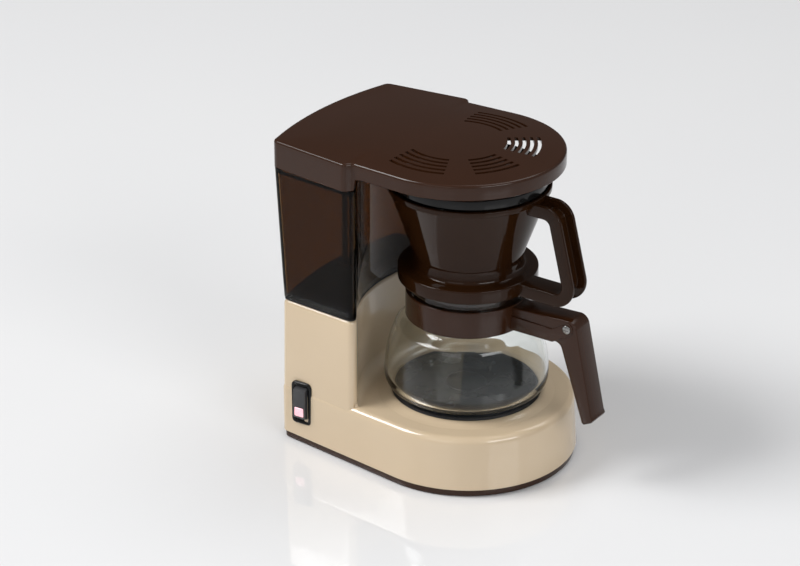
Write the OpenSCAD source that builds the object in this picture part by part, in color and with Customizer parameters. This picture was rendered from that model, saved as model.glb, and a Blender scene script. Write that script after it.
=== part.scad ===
// Small drip coffee maker: tower with a see-through water tank, hot plate deck,
// glass jug with a filter cone standing on it, and a lift-off lid.
// Millimetres, +Z up, front (jug handle side) at -Y. The origin is on the table
// under the middle of the whole object's box; the jug's axis is at y = axis_y.

/* [Heights] */
// Height of the lid's edge above the table
lid_edge_z = 220; // [214:1:232]
// Height of the deck that carries the hot plate
deck_z = 43; // [38:1:46]
// Height of the tower's top, where the water tank starts
tower_top_z = 105.4; // [98:1:112]
// Height of the rubber feet
foot_h = 0.5; // [0.4:0.1:2]
// Height of the seam between bottom tray and housing
tray_top_z = 5.2; // [4.4:0.1:8]

/* [Housing] */
// Radius of the round front at the seam
front_r = 76.5; // [74:0.5:82]
// Half of the housing's width at its rear corners
rear_half_w = 67.3; // [62:0.1:70]
// Distance from the jug's axis to the rear corners at the seam
rear_y = 107.2; // [100:0.1:110]
// Half of the tower's width at its front corners
corner_half_w = 67.5; // [65:0.5:70]
// Distance from the jug's axis to the tower's front corners
corner_y = 43.5; // [40:0.5:48]
// How far the rear wall bulges out in its middle
rear_bulge = 7.8; // [4:0.1:12]
// Radius of the hollow front of the tower and tank
bay_r = 100; // [90:1:130]
// Distance from the jug's axis to the middle of the hollow front
bay_y = 68.5; // [66:0.5:74]
// Wall thickness of the housing
housing_wall = 2.5; // [2:0.1:3.5]
// Radius of the rounded deck edge
deck_edge_r = 5; // [3:0.5:8]

/* [Tank] */
// Wall thickness of the water tank
tank_wall = 2.2; // [1.6:0.1:3]
// Thickness of the seal between tank and tower
seal_h = 1.4; // [1:0.1:2.5]
// Half of the tank's width at its rear corners, at the top
tank_rear_half_w = 65.2; // [60:0.1:67]
// Distance from the jug's axis to the tank's rear corners, at the top
tank_rear_y = 112.1; // [106:0.1:113]
// How far the tank's rear leans in from its top to its foot
tank_rake = 5.7; // [2:0.1:8]
// Outer radius of the riser tube
riser_r = 6.4; // [5:0.1:8]
// Distance from the jug's axis to the riser tube
riser_y = 97; // [90:0.5:100]

/* [Lid] */
// Half of the lid's width at its rear corners
lid_rear_half_w = 65.6; // [62:0.1:68]
// Distance from the jug's axis to the lid's rear corners
lid_rear_y = 112.3; // [108:0.1:114]
// Half of the lid's width at its widest, behind the side steps
lid_side_half_w = 72.3; // [69:0.1:74]
// Distance from the jug's axis to the side steps
lid_step_y = 48.7; // [46:0.1:51]
// Depth of the side steps
lid_step = 5.5; // [3:0.1:6]
// How far the lid's rear edge bulges out in its middle
lid_bulge = 9; // [6:0.1:12]
// Radius of the lid's round front
lid_front_r = 68.7; // [66:0.1:71]
// Distance from the jug's axis to the centre of the lid's round front
lid_front_y = 6.3; // [4:0.1:9]
// How far the lid's middle rises above its edge
lid_crown = 3.5; // [1:0.5:6]
// Depth of the skirt over the tank
rear_skirt_h = 19.5; // [16:0.5:24]
// Depth of the skirt round the front overhang
front_skirt_h = 10.6; // [8:0.1:14]
// Wall thickness of the lid
lid_wall = 2.2; // [1.8:0.1:3]
// Width of a steam slot
slot_w = 2.4; // [1.5:0.1:3]
// Steam slots in each group
slot_count = 5; // [3:1:6]
// Distance between neighbouring steam slots
slot_pitch = 5; // [4:0.1:6]

/* [Jug and filter] */
// Largest radius of the glass jug
jug_r = 56; // [54:0.5:58]
// Thickness of the glass
glass_wall = 2; // [1.5:0.1:2.4]
// Inner radius of the jug's mouth
mouth_r = 37.5; // [34:0.5:38]
// Radius of the filter cone's rim
filter_rim_r = 54.6; // [50:0.1:57]
// Radius of the filter's foot disc
filter_disc_r = 47.1; // [44:0.1:50]
// Wall thickness of the filter cone
filter_wall = 2; // [1.6:0.1:3]
// Width of the filter's handle
filter_handle_w = 18; // [14:1:22]
// Width of the jug's handle
jug_handle_w = 14; // [12:1:16]

/* [Hot plate and switch] */
// Radius of the hot plate
plate_r = 49; // [44:0.5:52]
// Height of the switch frame
switch_h = 32; // [28:0.5:36]
// Width of the switch frame
switch_w = 16; // [14:0.5:18]
// Height of the switch's centre above the table
switch_z = 32.5; // [30:0.5:60]
// Distance from the jug's axis to the switch's centre
switch_y = 89; // [80:1:92]
// Angle that the rocker turns between on and off
rocker_turn = 20; // [10:1:24]
// Radius of the hole in the cord gland
gland_hole_r = 3.4; // [2.5:0.1:4]

/* [Hidden] */
$fn = 96;
e = 0.01;             // overlap that joins solids of one node
layer = 0.1;          // height of one outline in a lofted shell
gap = 0.3;            // clearance between pieces that move past each other

glass_tint = [0.86, 0.88, 0.86];
beige = [0.85, 0.77, 0.64];
dark_brown = [0.24, 0.16, 0.13];
smoke = [0.20, 0.13, 0.08];
black = [0.08, 0.08, 0.08];
anthracite = [0.23, 0.24, 0.25];
steel = [0.75, 0.75, 0.76];
alloy = [0.66, 0.66, 0.68];
white_silicone = [0.86, 0.85, 0.82];

// The box's middle lies halfway between the lid's rear and the jug handle's tip.
handle_tip_y = 105.3;
lid_rear_max = lid_rear_y + lid_bulge;
axis_y = (handle_tip_y - lid_rear_max) / 2;
module on_axis() translate([0, axis_y, 0]) children();

module pair() for (s = [0, 1]) mirror([s, 0, 0]) children();
module slab(z, h = e) translate([0, 0, z]) linear_extrude(h) children();
function arc_y(x, r, top_y) = top_y - r + sqrt(r * r - x * x);
function bulge_r(half_w, bulge) = (half_w * half_w + bulge * bulge) / (2 * bulge);

function arc_pts(c, r, a0, a1, n = 5) = [for (i = [0:n]) let (a = a0 + (a1 - a0) * i / n)
    c + r * [cos(a), sin(a)]];
function mirrored(pts) = concat(pts, [for (i = [len(pts) - 1:-1:0]) if (pts[i][0] > e) [-pts[i][0], pts[i][1]]]);

// Outline of a tower section: rear arc, rounded rear corners, straight sides and
// rounded front corners. Drawn from the middle of the rear round to the front.
function rear_corner(rw, ry, bulge, c) = [rw - c, arc_y(rw - c, bulge_r(rw, bulge), ry + bulge) - c];
function rear_arc(rw, ry, bulge, c, inset) = [for (i = [0:6]) let (x = i / 6 * (rw - c))
    [x, arc_y(x, bulge_r(rw, bulge) - inset, ry + bulge - inset)]];
function section_pts(rw, ry, bulge, fw, fy, c = 4, inset = 0) = mirrored(concat(
    rear_arc(rw, ry, bulge, c, inset),
    arc_pts(rear_corner(rw, ry, bulge, c), c - inset, 70, 0),
    arc_pts([fw - c, fy + c], c - inset, 0, -90)));
module section(z, pts) slab(z, layer) polygon(pts);

/* ---- bottom tray ---- */
tray_inset = 0.8;
tray_draft = 0.4;
tray_floor = 2.4;
tray_wall = 2.8;
function base_pts(inset) = section_pts(rear_half_w, rear_y, rear_bulge, rear_half_w + 6, 20, 5, inset);
module base_layer(z, inset) {
    section(z, base_pts(inset));
    slab(z, layer) circle(front_r - inset, $fn = 90);
}
screw_spots = [for (s = [-1, 1]) each [[s * (rear_half_w - 2.9), 68], [s * 50, -36]]];
boss_r = 4.2;
boss_gap = 1.8;        // how far the tray's bosses stand into the housing
screw_r = 1.6;
module at_screws() for (p = screw_spots) translate(p) children();

foot_r = 6;
foot_spots = [[50, 100], [-50, 100], [46, -48], [-46, -48]];
module at_feet() for (p = foot_spots) translate(p) children();
foot_peg_r = 2.6;
tray_z = foot_h;

module bottom_tray() color(dark_brown) on_axis() difference() {
    union() {
        hull() {
            base_layer(tray_z, tray_inset + tray_draft);
            base_layer(tray_top_z - layer, tray_inset);
        }
        at_screws() slab(tray_z + e, tray_top_z - tray_z - 2 * e) circle(boss_r);
        at_screws() slab(tray_top_z - 1, 1 + boss_gap) circle(screw_r + 1.4);
    }
    difference() {
        slab(tray_z + tray_floor, tray_top_z) hull() {
            polygon(base_pts(tray_inset + tray_wall));
            circle(front_r - tray_inset - tray_wall);
        }
        at_screws() cylinder(r = boss_r, h = 20);
    }
    at_screws() translate([0, 0, -1]) cylinder(r = screw_r + 0.4, h = 12);
    at_screws() translate([0, 0, -1]) cylinder(r = 3.4, h = 1 + tray_z + 2.6);
    at_feet() translate([0, 0, -1]) cylinder(r = foot_peg_r, h = 12);
}

module feet() color(black) on_axis() at_feet() {
    cylinder(r1 = foot_r - 0.4, r2 = foot_r, h = foot_h);
    cylinder(r = foot_peg_r, h = foot_h + tray_floor);
    translate([0, 0, foot_h + tray_floor]) cylinder(r1 = foot_peg_r + 0.7, r2 = 1.6, h = 1.6);
}

screw_seat_z = tray_z + 2.6;
boss_bottom_z = tray_top_z + boss_gap + e;
module base_screws() color(steel) on_axis() at_screws() {
    translate([0, 0, screw_seat_z - 2]) difference() {
        cylinder(r = 3, h = 2);
        translate([-2, -0.4, -e]) cube([4, 0.8, 0.9]);
        translate([-0.4, -2, -e]) cube([0.8, 4, 0.9]);
    }
    translate([0, 0, screw_seat_z - e]) cylinder(r = screw_r, h = 14);
}

/* ---- housing ---- */
deck_r_top = front_r - 2.2;
gland_z = 15;
gland_r = 6.5;
gland_groove_r = gland_r - 1.2;
rear_max_y = rear_y + rear_bulge;

function tank_foot_pts(inset) = section_pts(tank_rear_half_w, tank_rear_y - tank_rake, rear_bulge,
                                            corner_half_w, corner_y, 4, inset);
module tower_outer(inset = 0, z0 = tray_top_z, z1 = tower_top_z) hull() {
    section(z0, section_pts(rear_half_w, rear_y, rear_bulge, rear_half_w + 5.5, corner_y - 2, 4, inset));
    section(z1 - layer, tank_foot_pts(inset));
}
module deck_layer(z, inset) {
    slab(z, layer) circle(deck_r_top - inset, $fn = 90);
    section(z, section_pts(rear_half_w, rear_y, rear_bulge, corner_half_w + 2, 20, 5, min(inset, 4)));
}
module deck_outer() hull() {
    base_layer(tray_top_z, 0);
    for (a = [0:30:90])
        deck_layer(deck_z - layer - deck_edge_r * (1 - sin(a)), deck_edge_r * (1 - cos(a)));
}
module deck_inner() hull() {
    base_layer(tray_top_z - 1, housing_wall);
    deck_layer(deck_z - housing_wall - deck_edge_r, housing_wall);
    deck_layer(deck_z - housing_wall - layer, housing_wall + deck_edge_r * 0.6);
}
module bay(extra = 0, z0 = deck_z, h = 300) translate([0, bay_y - bay_r, z0])
    cylinder(r = bay_r + extra, h = h, $fn = 200);

plate_z = deck_z + 3.7;
plate_hole_r = 40;
seal_r = plate_r + 2;
lip_h = 1.6;           // raised ring of the deck round the seal
module plate_lip() rotate_extrude() polygon([[seal_r + 0.3, deck_z - 1], [seal_r + 0.3, deck_z + lip_h - 0.4],
    [seal_r + 0.8, deck_z + lip_h], [seal_r + 2, deck_z + lip_h], [seal_r + 9, deck_z - 0.1], [seal_r + 9, deck_z - 1]]);
module housing() color(beige) on_axis() difference() {
    union() {
        deck_outer();
        plate_lip();
        difference() {
            tower_outer();
            bay();
        }
    }
    difference() {
        union() {
            deck_inner();
            difference() {
                tower_outer(housing_wall, tray_top_z - 1, tower_top_z - housing_wall);
                bay(housing_wall, deck_z - housing_wall - 1);
            }
        }
        at_screws() translate([0, 0, boss_bottom_z]) cylinder(r = boss_r, h = deck_z);
        gland_pad();
    }
    translate([0, 0, deck_z - 10]) cylinder(r = plate_hole_r, h = 20);
    at_screws() translate([0, 0, boss_bottom_z - 1]) cylinder(r = screw_r, h = 14);
    riser_axis() cylinder(r = hose_r + 0.5, h = 10);
    outlet_axis() cylinder(r = hose_r + 0.5, h = 10);
    at_switch() translate([-4, -switch_w / 2 + 1.5, -switch_h / 2 + 1.5])
        cube([12, switch_w - 3, switch_h - 3]);
    at_switch() switch_plate(switch_w + 0.06, switch_h + 0.06, 3.2, -6, e);
    gland_notch();
}
gland_pad_t = 6;
module gland_pad() translate([-gland_r - 3, rear_max_y - gland_pad_t, tray_top_z])
    cube([2 * gland_r + 6, gland_pad_t, gland_z + gland_r]);
module gland_notch() {
    translate([-gland_groove_r, rear_max_y - 20, tray_top_z - 3])
        cube([2 * gland_groove_r, 40, gland_z - tray_top_z + 3]);
    translate([0, rear_max_y - 20, gland_z]) rotate([-90, 0, 0])
        cylinder(r = gland_groove_r, h = 40);
}
module cord_gland() color(black) on_axis() translate([0, rear_max_y, gland_z]) rotate([-90, 0, 0])
    difference() {
        union() {
            translate([0, 0, -gland_pad_t - 1.5]) cylinder(r = gland_r, h = 1.5 - e);
            translate([0, 0, -gland_pad_t - 1]) cylinder(r = gland_groove_r - 0.03, h = gland_pad_t + 2);
            translate([0, 0, e]) cylinder(r1 = gland_r, r2 = gland_r - 1, h = 3);
        }
        translate([0, 0, -20]) cylinder(r = gland_hole_r, h = 40);
    }

/* ---- hot plate ---- */
module hot_plate() color(anthracite) on_axis() {
    translate([0, 0, plate_z - 1.6]) rotate_extrude() difference() {
        polygon([[0, 0], [plate_r, 0], [plate_r, 0.9], [plate_r - 0.9, 1.6], [15, 1.6],
                 [14.4, 1.2], [13.8, 1.6], [0, 1.6]]);
    }
    difference() {
        translate([0, 0, deck_z - 1]) cylinder(r = plate_hole_r - gap, h = plate_z - 1.6 - deck_z + 1 + e);
        translate([0, 0, deck_z - 2]) cylinder(r = plate_hole_r - gap - 1.6, h = plate_z - 1.6 - deck_z + 2);
    }
}
module plate_seal() color(black) on_axis() rotate_extrude()
    polygon([[plate_hole_r, deck_z], [seal_r - 0.6, deck_z], [seal_r, deck_z + 0.6],
             [seal_r, plate_z - 1.2], [seal_r - 0.8, plate_z - 0.6], [plate_r + 0.1, plate_z - 0.6],
             [plate_r + 0.1, plate_z - 1.6], [plate_hole_r, plate_z - 1.6]]);

/* ---- flow heater under the plate ---- */
hose_r = 5.2;
hose_bore_r = 3.6;
stub_r = hose_bore_r - 0.03;
plate_under_z = plate_z - 1.6;
heater_leg_x = 30;
heater_tube_r = 5;
heater_bore_r = 3.4;
heater_z = deck_z - housing_wall - hose_r - 1.8;
heater_leg_y = 52;
outlet_x = heater_leg_x;
outlet_y = 92;

module bend(r, tube, hole, turn = 90) rotate_extrude(angle = turn) translate([r, 0])
    difference() { circle(tube); circle(hole); }
module pipe(len, tube, hole) difference() {
    cylinder(r = tube, h = len);
    translate([0, 0, -1]) cylinder(r = hole, h = len + 2);
}
module heater_tube() color(alloy) on_axis() translate([0, 0, heater_z]) {
    rotate([0, 0, 180]) bend(heater_leg_x, heater_tube_r, heater_bore_r, 180);
    rotate([0, 0, 180]) rotate_extrude(angle = 180)
        translate([heater_leg_x - 3, heater_bore_r + 0.6]) square([6, plate_under_z - heater_z - heater_bore_r - 0.6]);
    pair() translate([heater_leg_x, 0, 0]) rotate([-90, 0, 0])
        pipe(heater_leg_y - 12, heater_tube_r, heater_bore_r);
    pair() translate([heater_leg_x, heater_leg_y - 12 - e, 0]) rotate([-90, 0, 0])
        pipe(12, stub_r, heater_bore_r - 1);
}
clamp_z = heater_z - heater_tube_r;
module heater_clamp() color(steel) on_axis() {
    translate([-heater_leg_x - 6, -5, clamp_z - 1.5]) cube([2 * heater_leg_x + 12, 22, 1.5]);
    translate([0, 0, clamp_z - 1.5]) cylinder(r = 3, h = plate_under_z - clamp_z + 1.5);
    translate([0, 0, clamp_z - 4.5]) cylinder(r = 4.5, h = 3, $fn = 6);
}
module thermostat() color(black) on_axis() translate([14, 6, clamp_z - 1.5]) {
    translate([0, 0, -7]) cylinder(r = 7, h = 7);
    pair() translate([3, -1.5, -12]) cube([0.8, 3, 5 + e]);
}
module thermal_fuse() color(steel) on_axis() translate([-14, -4, clamp_z - 1.5 - 2]) {
    rotate([-90, 0, 0]) cylinder(r = 2, h = 14);
    translate([0, -6, 0]) rotate([-90, 0, 0]) cylinder(r = 0.6, h = 26);
}

module outlet_axis() translate([outlet_x, outlet_y, tower_top_z - 6]) children();
module riser_axis() translate([0, riser_y, tower_top_z - 6]) children();
hose_bend_r = heater_leg_x / 2;
hose_top_z = tower_top_z - housing_wall - 1;
hose_start_y = heater_leg_y - 10;
valve_z0 = 62;
valve_z1 = 80;

// Cold side: heater leg, back and up to the tank outlet, the valve in its middle.
module inlet_hose() color(white_silicone) on_axis() {
    translate([heater_leg_x, hose_start_y, heater_z]) rotate([-90, 0, 0])
        pipe(outlet_y - hose_bend_r - hose_start_y, hose_r, hose_bore_r);
    translate([outlet_x, outlet_y - hose_bend_r, heater_z + hose_bend_r]) rotate([0, 90, 0])
        bend(hose_bend_r, hose_r, hose_bore_r);
    translate([outlet_x, outlet_y, heater_z + hose_bend_r])
        pipe(valve_z0 - heater_z - hose_bend_r, hose_r, hose_bore_r);
    translate([outlet_x, outlet_y, valve_z1]) pipe(hose_top_z + 1 - valve_z1, hose_r, hose_bore_r);
}
module check_valve() color(black) on_axis() translate([outlet_x, outlet_y, 0]) {
    translate([0, 0, valve_z0]) pipe(valve_z1 - valve_z0, 6.6, 2.2);
    translate([0, 0, valve_z0 - 7]) pipe(7 + e, stub_r, 2.2);
    translate([0, 0, valve_z1 - e]) pipe(7, stub_r, 2.2);
}

// Hot side: heater leg, across the back and up to the riser tube.
module outlet_hose() color(white_silicone) on_axis() {
    translate([-heater_leg_x, hose_start_y, heater_z]) rotate([-90, 0, 0])
        pipe(riser_y - hose_bend_r - hose_start_y, hose_r, hose_bore_r);
    translate([hose_bend_r - heater_leg_x, riser_y - hose_bend_r, heater_z])
        rotate([0, 0, 90]) bend(hose_bend_r, hose_r, hose_bore_r);
    translate([-hose_bend_r, riser_y, heater_z + hose_bend_r]) rotate([-90, 0, 0])
        bend(hose_bend_r, hose_r, hose_bore_r);
    translate([0, riser_y, heater_z + hose_bend_r])
        pipe(hose_top_z + 1 - heater_z - hose_bend_r, hose_r, hose_bore_r);
}
clip_h = 4;
module hose_clip() difference() {
    union() {
        cylinder(r = hose_r + 1.1, h = clip_h);
        translate([hose_r + 0.4, -1.5, 0]) cube([4, 3, clip_h]);
    }
    translate([0, 0, -1]) cylinder(r = hose_r + 0.05, h = clip_h + 2);
}
module hose_clips() color(steel) on_axis() {
    pair() translate([heater_leg_x, hose_start_y + 1.5, heater_z]) rotate([-90, 0, 0]) hose_clip();
    translate([outlet_x, outlet_y, hose_top_z - clip_h - 1]) hose_clip();
    translate([0, riser_y, hose_top_z - clip_h - 1]) hose_clip();
    translate([outlet_x, outlet_y, valve_z0 - clip_h - 1]) hose_clip();
    translate([outlet_x, outlet_y, valve_z1 + 1]) hose_clip();
}

/* ---- water tank ---- */
tank_z = tower_top_z + seal_h;
tank_floor = 2.6;
lid_skirt_z = lid_edge_z - rear_skirt_h;
shoulder_z = lid_skirt_z - gap;
rim_top_z = lid_edge_z - lid_wall - gap;
rim_inset = lid_wall + 0.4;
rim_wall = 2;
arm_w = 14;
arm_h = 7;
arm_z = lid_skirt_z + 4;
spigot_r = stub_r;
module tank_outer(inset = 0, z0 = tank_z, z1 = shoulder_z) hull() {
    section(z0, tank_foot_pts(inset));
    section(z1 - layer, section_pts(tank_rear_half_w, tank_rear_y, rear_bulge, lid_side_half_w - 2.9,
                                lid_step_y - 4.7, 4, inset));
}
module tank() color(smoke) on_axis() difference() {
    union() {
        tank_outer();
        slab(shoulder_z - e, rim_top_z - shoulder_z) polygon(inset(lid_tank_outline, rim_inset));
    }
    bay(0, 0);
    difference() {
        union() {
            tank_outer(tank_wall, tank_z + tank_floor, shoulder_z - 3);
            slab(shoulder_z - 3 - e, 60) polygon(inset(lid_tank_outline, rim_inset + rim_wall));
        }
        bay(tank_wall, 0);
    }
    translate([outlet_x, outlet_y, tank_z - 1]) cylinder(r = spigot_r + 0.05, h = 10);
    translate([0, riser_y, tank_z - 1]) cylinder(r = spigot_r + 0.05, h = 10);
    translate([-arm_w / 2 - 0.2, 0, arm_z - 0.2]) cube([arm_w + 0.4, riser_y - 12, 40]);
}
module tank_seal() color(black) on_axis() difference() {
    slab(tower_top_z, seal_h) polygon(tank_foot_pts(gap));
    bay(gap, 0);
    outlet_axis() cylinder(r = spigot_r + gap, h = 20);
    riser_axis() cylinder(r = spigot_r + gap, h = 20);
}
module tank_outlet() color(black) on_axis() translate([outlet_x, outlet_y, 0]) difference() {
    union() {
        translate([0, 0, tank_z + tank_floor]) cylinder(r = 7, h = 1.6);
        translate([0, 0, tank_z + tank_floor + 1.6 - e]) cylinder(r1 = 5.5, r2 = 4, h = 4);
        translate([0, 0, hose_top_z - 8]) cylinder(r = spigot_r, h = tank_z + tank_floor - hose_top_z + 8 + e);
    }
    translate([0, 0, hose_top_z - 9]) cylinder(r = 2.4, h = 40);
}
riser_top_z = arm_z;
module riser_tube() color(smoke) on_axis() translate([0, riser_y, 0]) difference() {
    union() {
        translate([0, 0, tank_z + tank_floor]) cylinder(r = riser_r, h = riser_top_z - tank_z - tank_floor);
        translate([0, 0, hose_top_z - 8]) cylinder(r = spigot_r, h = tank_z + tank_floor - hose_top_z + 8 + e);
    }
    translate([0, 0, hose_top_z - 9]) cylinder(r = 2.4, h = 200);
}
module riser_collar() color(black) on_axis() translate([0, riser_y, tank_z + tank_floor])
    difference() {
        cylinder(r1 = riser_r + 2.6, r2 = riser_r + 1.6, h = 3);
        translate([0, 0, -1]) cylinder(r = riser_r + 0.05, h = 5);
    }

/* ---- outlet arm and spray head ---- */
filter_rim_z = 196.5;
spray_r = 52.5;
spray_z = filter_rim_z + 0.6;
spray_h = 6.6;
spray_floor = 1.6;
spray_boss_r = 7;
drip_holes = 8;
module outlet_arm() color(black) on_axis() difference() {
    union() {
        translate([-arm_w / 2, 0, arm_z]) cube([arm_w, riser_y, arm_h]);
        translate([0, riser_y, arm_z]) cylinder(r = arm_w / 2 + 2, h = arm_h);
        translate([0, 0, arm_z]) cylinder(r = arm_w / 2 + 1, h = arm_h);
    }
    translate([-arm_w / 2 + 2, 0, arm_z + 2]) cube([arm_w - 4, riser_y, arm_h - 4]);
    translate([0, riser_y, arm_z - 1]) cylinder(r = 2.4, h = arm_h - 1);
    translate([0, 0, arm_z - 1]) cylinder(r = 4, h = arm_h - 1);
}
module spray_head() color(black) on_axis() difference() {
    union() {
        translate([0, 0, spray_z]) cylinder(r1 = spray_r - 0.6, r2 = spray_r, h = 0.6);
        translate([0, 0, spray_z + 0.6 - e]) cylinder(r = spray_r, h = spray_h - 0.6);
    }
    difference() {
        translate([0, 0, spray_z + spray_floor]) cylinder(r = spray_r - 2, h = spray_h);
        cylinder(r = spray_boss_r, h = 400);
    }
    translate([0, 0, arm_z]) cylinder(r = 20, h = 40);
    translate([0, 0, spray_z + spray_floor]) cylinder(r = 4, h = 40);
    for (i = [0:drip_holes - 1]) rotate([0, 0, i * 360 / drip_holes]) translate([22, 0, spray_z - 1])
        cylinder(r = 1.5, h = 6);
    translate([0, 0, spray_z - 1]) cylinder(r = 1.5, h = 6);
}

/* ---- lid ---- */
lid_r = 2;             // rounding of the lid's upper edge
lid_corner = 5;
lid_waist = [lid_side_half_w - lid_step, lid_step_y - 4.4];
function lid_rear_half() = concat(
    rear_arc(lid_rear_half_w, lid_rear_y, lid_bulge, lid_corner, 0),
    arc_pts(rear_corner(lid_rear_half_w, lid_rear_y, lid_bulge, lid_corner), lid_corner, 70, 0, 4),
    arc_pts([lid_side_half_w - lid_corner, lid_step_y + lid_corner - 0.6], lid_corner, 0, -50, 3));
// Whole outline of the lid, from the middle of its rear round to its front.
lid_outline = mirrored(concat(lid_rear_half(), [lid_waist],
    arc_pts([0, lid_front_y], lid_front_r, 8, -90, 18)));
// Only the part over the tank, closed in front by a straight edge.
lid_tank_outline = mirrored(concat(lid_rear_half(), [lid_waist]));
function unit(v) = v / norm(v);
function at(pts, i) = pts[(i + len(pts)) % len(pts)];
function inward(pts, i) = let (u = unit(at(pts, i) - at(pts, i - 1)), v = unit(at(pts, i + 1) - at(pts, i)),
    m = unit([u[1] + v[1], -u[0] - v[0]])) m / (m * [u[1], -u[0]]);
function inset(pts, d) = [for (i = [0:len(pts) - 1]) pts[i] + inward(pts, i) * d];
lid_hub = [0, 40];
function shrunk(pts, s) = [for (p = pts) lid_hub + (p - lid_hub) * s];
function at_height(pts, z) = [for (p = pts) [p[0], p[1], z]];
// Closed solid through rings of equally many points, from bottom to top.
module loft(rings) {
    n = len(rings[0]);
    top = len(rings) - 1;
    polyhedron(points = [for (ring = rings) each ring], faces = concat(
        [[for (i = [n - 1:-1:0]) i]], [[for (i = [0:n - 1]) top * n + i]],
        [for (k = [0:top - 1]) for (i = [0:n - 1]) for (h = [0, 1]) let (a = k * n + i, b = k * n + (i + 1) % n)
            h == 0 ? [a, b, b + n] : [a, b + n, a + n]]));
}
dome = [0.82, 0.6, 0.3];
lid_outer_rings = concat([at_height(lid_outline, lid_edge_z - front_skirt_h)],
    [for (a = [0:30:90]) at_height(inset(lid_outline, lid_r * (1 - cos(a))), lid_edge_z - lid_r * (1 - sin(a)))],
    [for (s = dome) at_height(shrunk(inset(lid_outline, lid_r), s), lid_edge_z + lid_crown * (1 - s * s))]);
lid_inner_rings = concat([at_height(inset(lid_outline, lid_wall), lid_edge_z - front_skirt_h - 1)],
    [at_height(inset(lid_outline, lid_wall), lid_edge_z - lid_wall)],
    [at_height(shrunk(inset(lid_outline, lid_wall), 0.6), lid_edge_z - lid_wall + lid_crown * 0.6)]);
vent_y = 10;
vent_r = 34;
vent_groups = [[154, 205, 0.35], [226, 261, 0]];
module steam_slots(z0, h) pair() for (g = vent_groups) for (i = [0:slot_count - 1]) {
    r = vent_r + i * slot_pitch;
    from = g[0] + g[2] * (r - vent_r);
    translate([0, vent_y, z0]) rotate([0, 0, from]) rotate_extrude(angle = g[1] - from)
        translate([r - slot_w / 2, 0]) square([slot_w, h]);
}
module lid() color(dark_brown) on_axis() difference() {
    union() {
        loft(lid_outer_rings);
        slab(lid_skirt_z, rear_skirt_h - front_skirt_h + e) polygon(lid_tank_outline);
    }
    loft(lid_inner_rings);
    slab(lid_skirt_z - 1, rear_skirt_h - front_skirt_h + 2) polygon(inset(lid_tank_outline, lid_wall));
    bay(0, lid_skirt_z - 1, rear_skirt_h - front_skirt_h + 1);
    steam_slots(lid_edge_z - 6, 20);
}

/* ---- filter holder ---- */
cone_low_r = 36.7;
cone_low_z = 149;
disc_z = 128;
disc_top_z = 137.3;
filter_floor_z = 139;
handle_wall = 2.5;
mouth_z = disc_z - 0.1;
function filter_loop_out(t) = concat(
    [[-49, 187.2 + t]], arc_pts([-62.6, 182], 5.2 + t, 90, 166),
    arc_pts([-72.2, 142.8], 5.8 + t, 166, 270), [[-45.5, 137 - t]]);
function filter_loop_in() = [for (i = [len(filter_loop_out(0)) - 1:-1:0]) filter_loop_out(0)[i]];
module filter_loop(t, w) rotate([90, 0, 90]) translate([0, 0, -w / 2]) linear_extrude(w)
    polygon(concat(filter_loop_out(t), filter_loop_in()));
module filter_holder() color(smoke) on_axis() {
    difference() {
        union() {
            rotate_extrude() polygon([[0, filter_floor_z - 2], [30, filter_floor_z - 2], [30, disc_top_z - 2.2],
                [36, disc_top_z - 2.2], [36, mouth_z + 0.4], [41.5, mouth_z + 0.4], [41.5, disc_top_z - 2.2],
                [filter_disc_r - 2.2, disc_top_z - 2.2], [filter_disc_r - 2.2, disc_z], [filter_disc_r, disc_z],
                [filter_disc_r, disc_top_z - 1], [filter_disc_r - 1, disc_top_z], [41, disc_top_z + 0.6],
                [38, cone_low_z - 7], [cone_low_r, cone_low_z], [filter_rim_r - 1, filter_rim_z - 3],
                [filter_rim_r, filter_rim_z - 3], [filter_rim_r, filter_rim_z], [0, filter_rim_z]]);
            filter_loop(9, filter_handle_w);
            rotate_extrude() polygon([[33.6, disc_z - 6], [35.4, disc_z - 6], [36.2, mouth_z + 0.6], [33.6, disc_top_z - 2]]);
        }
        rotate_extrude() polygon([[0, filter_floor_z], [29, filter_floor_z], [cone_low_r - filter_wall, cone_low_z],
            [filter_rim_r - filter_wall, filter_rim_z + 1], [0, filter_rim_z + 1]]);
        cylinder(r = 2.5, h = 300);
        difference() {
            filter_loop_pocket();
            cylinder(r1 = 48, r2 = 48, h = 300);
        }
    }
}
module filter_loop_pocket() rotate([90, 0, 90]) translate([0, 0, handle_wall - filter_handle_w / 2])
    linear_extrude(filter_handle_w - 2 * handle_wall)
        polygon(concat(filter_loop_out(30), [for (i = [len(filter_loop_out(3)) - 1:-1:0]) filter_loop_out(3)[i]]));

/* ---- glass jug ---- */
jug_z = plate_z + gap;
belly_z = jug_z + 10;
belly_h = 72;
foot_in = 9;
neck_r = mouth_r + glass_wall;
shoulder_z2 = 97;
collar_z = 100.4;
collar_top_z = 119.3;
collar_wall = 2.2;
collar_r = neck_r + 0.2 + collar_wall;
function jug_profile(t) = concat(
    [[0, jug_z + t], [jug_r - foot_in - t * 0.6, jug_z + t]],
    [for (a = [15:15:75]) [jug_r - foot_in - t + foot_in * sin(a), jug_z + t + (10 - t) * (1 - cos(a))]],
    [for (z = [belly_z:5:shoulder_z2]) [(jug_r - t) * sqrt(1 - pow((z - belly_z) / belly_h, 2)), z]],
    [for (a = [15:15:90]) [neck_r - t + (jug_r * sqrt(1 - pow((shoulder_z2 - belly_z) / belly_h, 2)) - neck_r)
        * (1 - sin(a)), shoulder_z2 + 0.8 + 4 * (1 - cos(a))]],
    [[neck_r - t, mouth_z]]);
module jug_glass() color(glass_tint) on_axis() rotate_extrude() difference() {
    polygon(concat(jug_profile(0), [[0, mouth_z]]));
    polygon(concat(jug_profile(glass_wall), [[neck_r - glass_wall, mouth_z + 5], [0, mouth_z + 5]]));
}
ear_t = 2.4;
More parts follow.
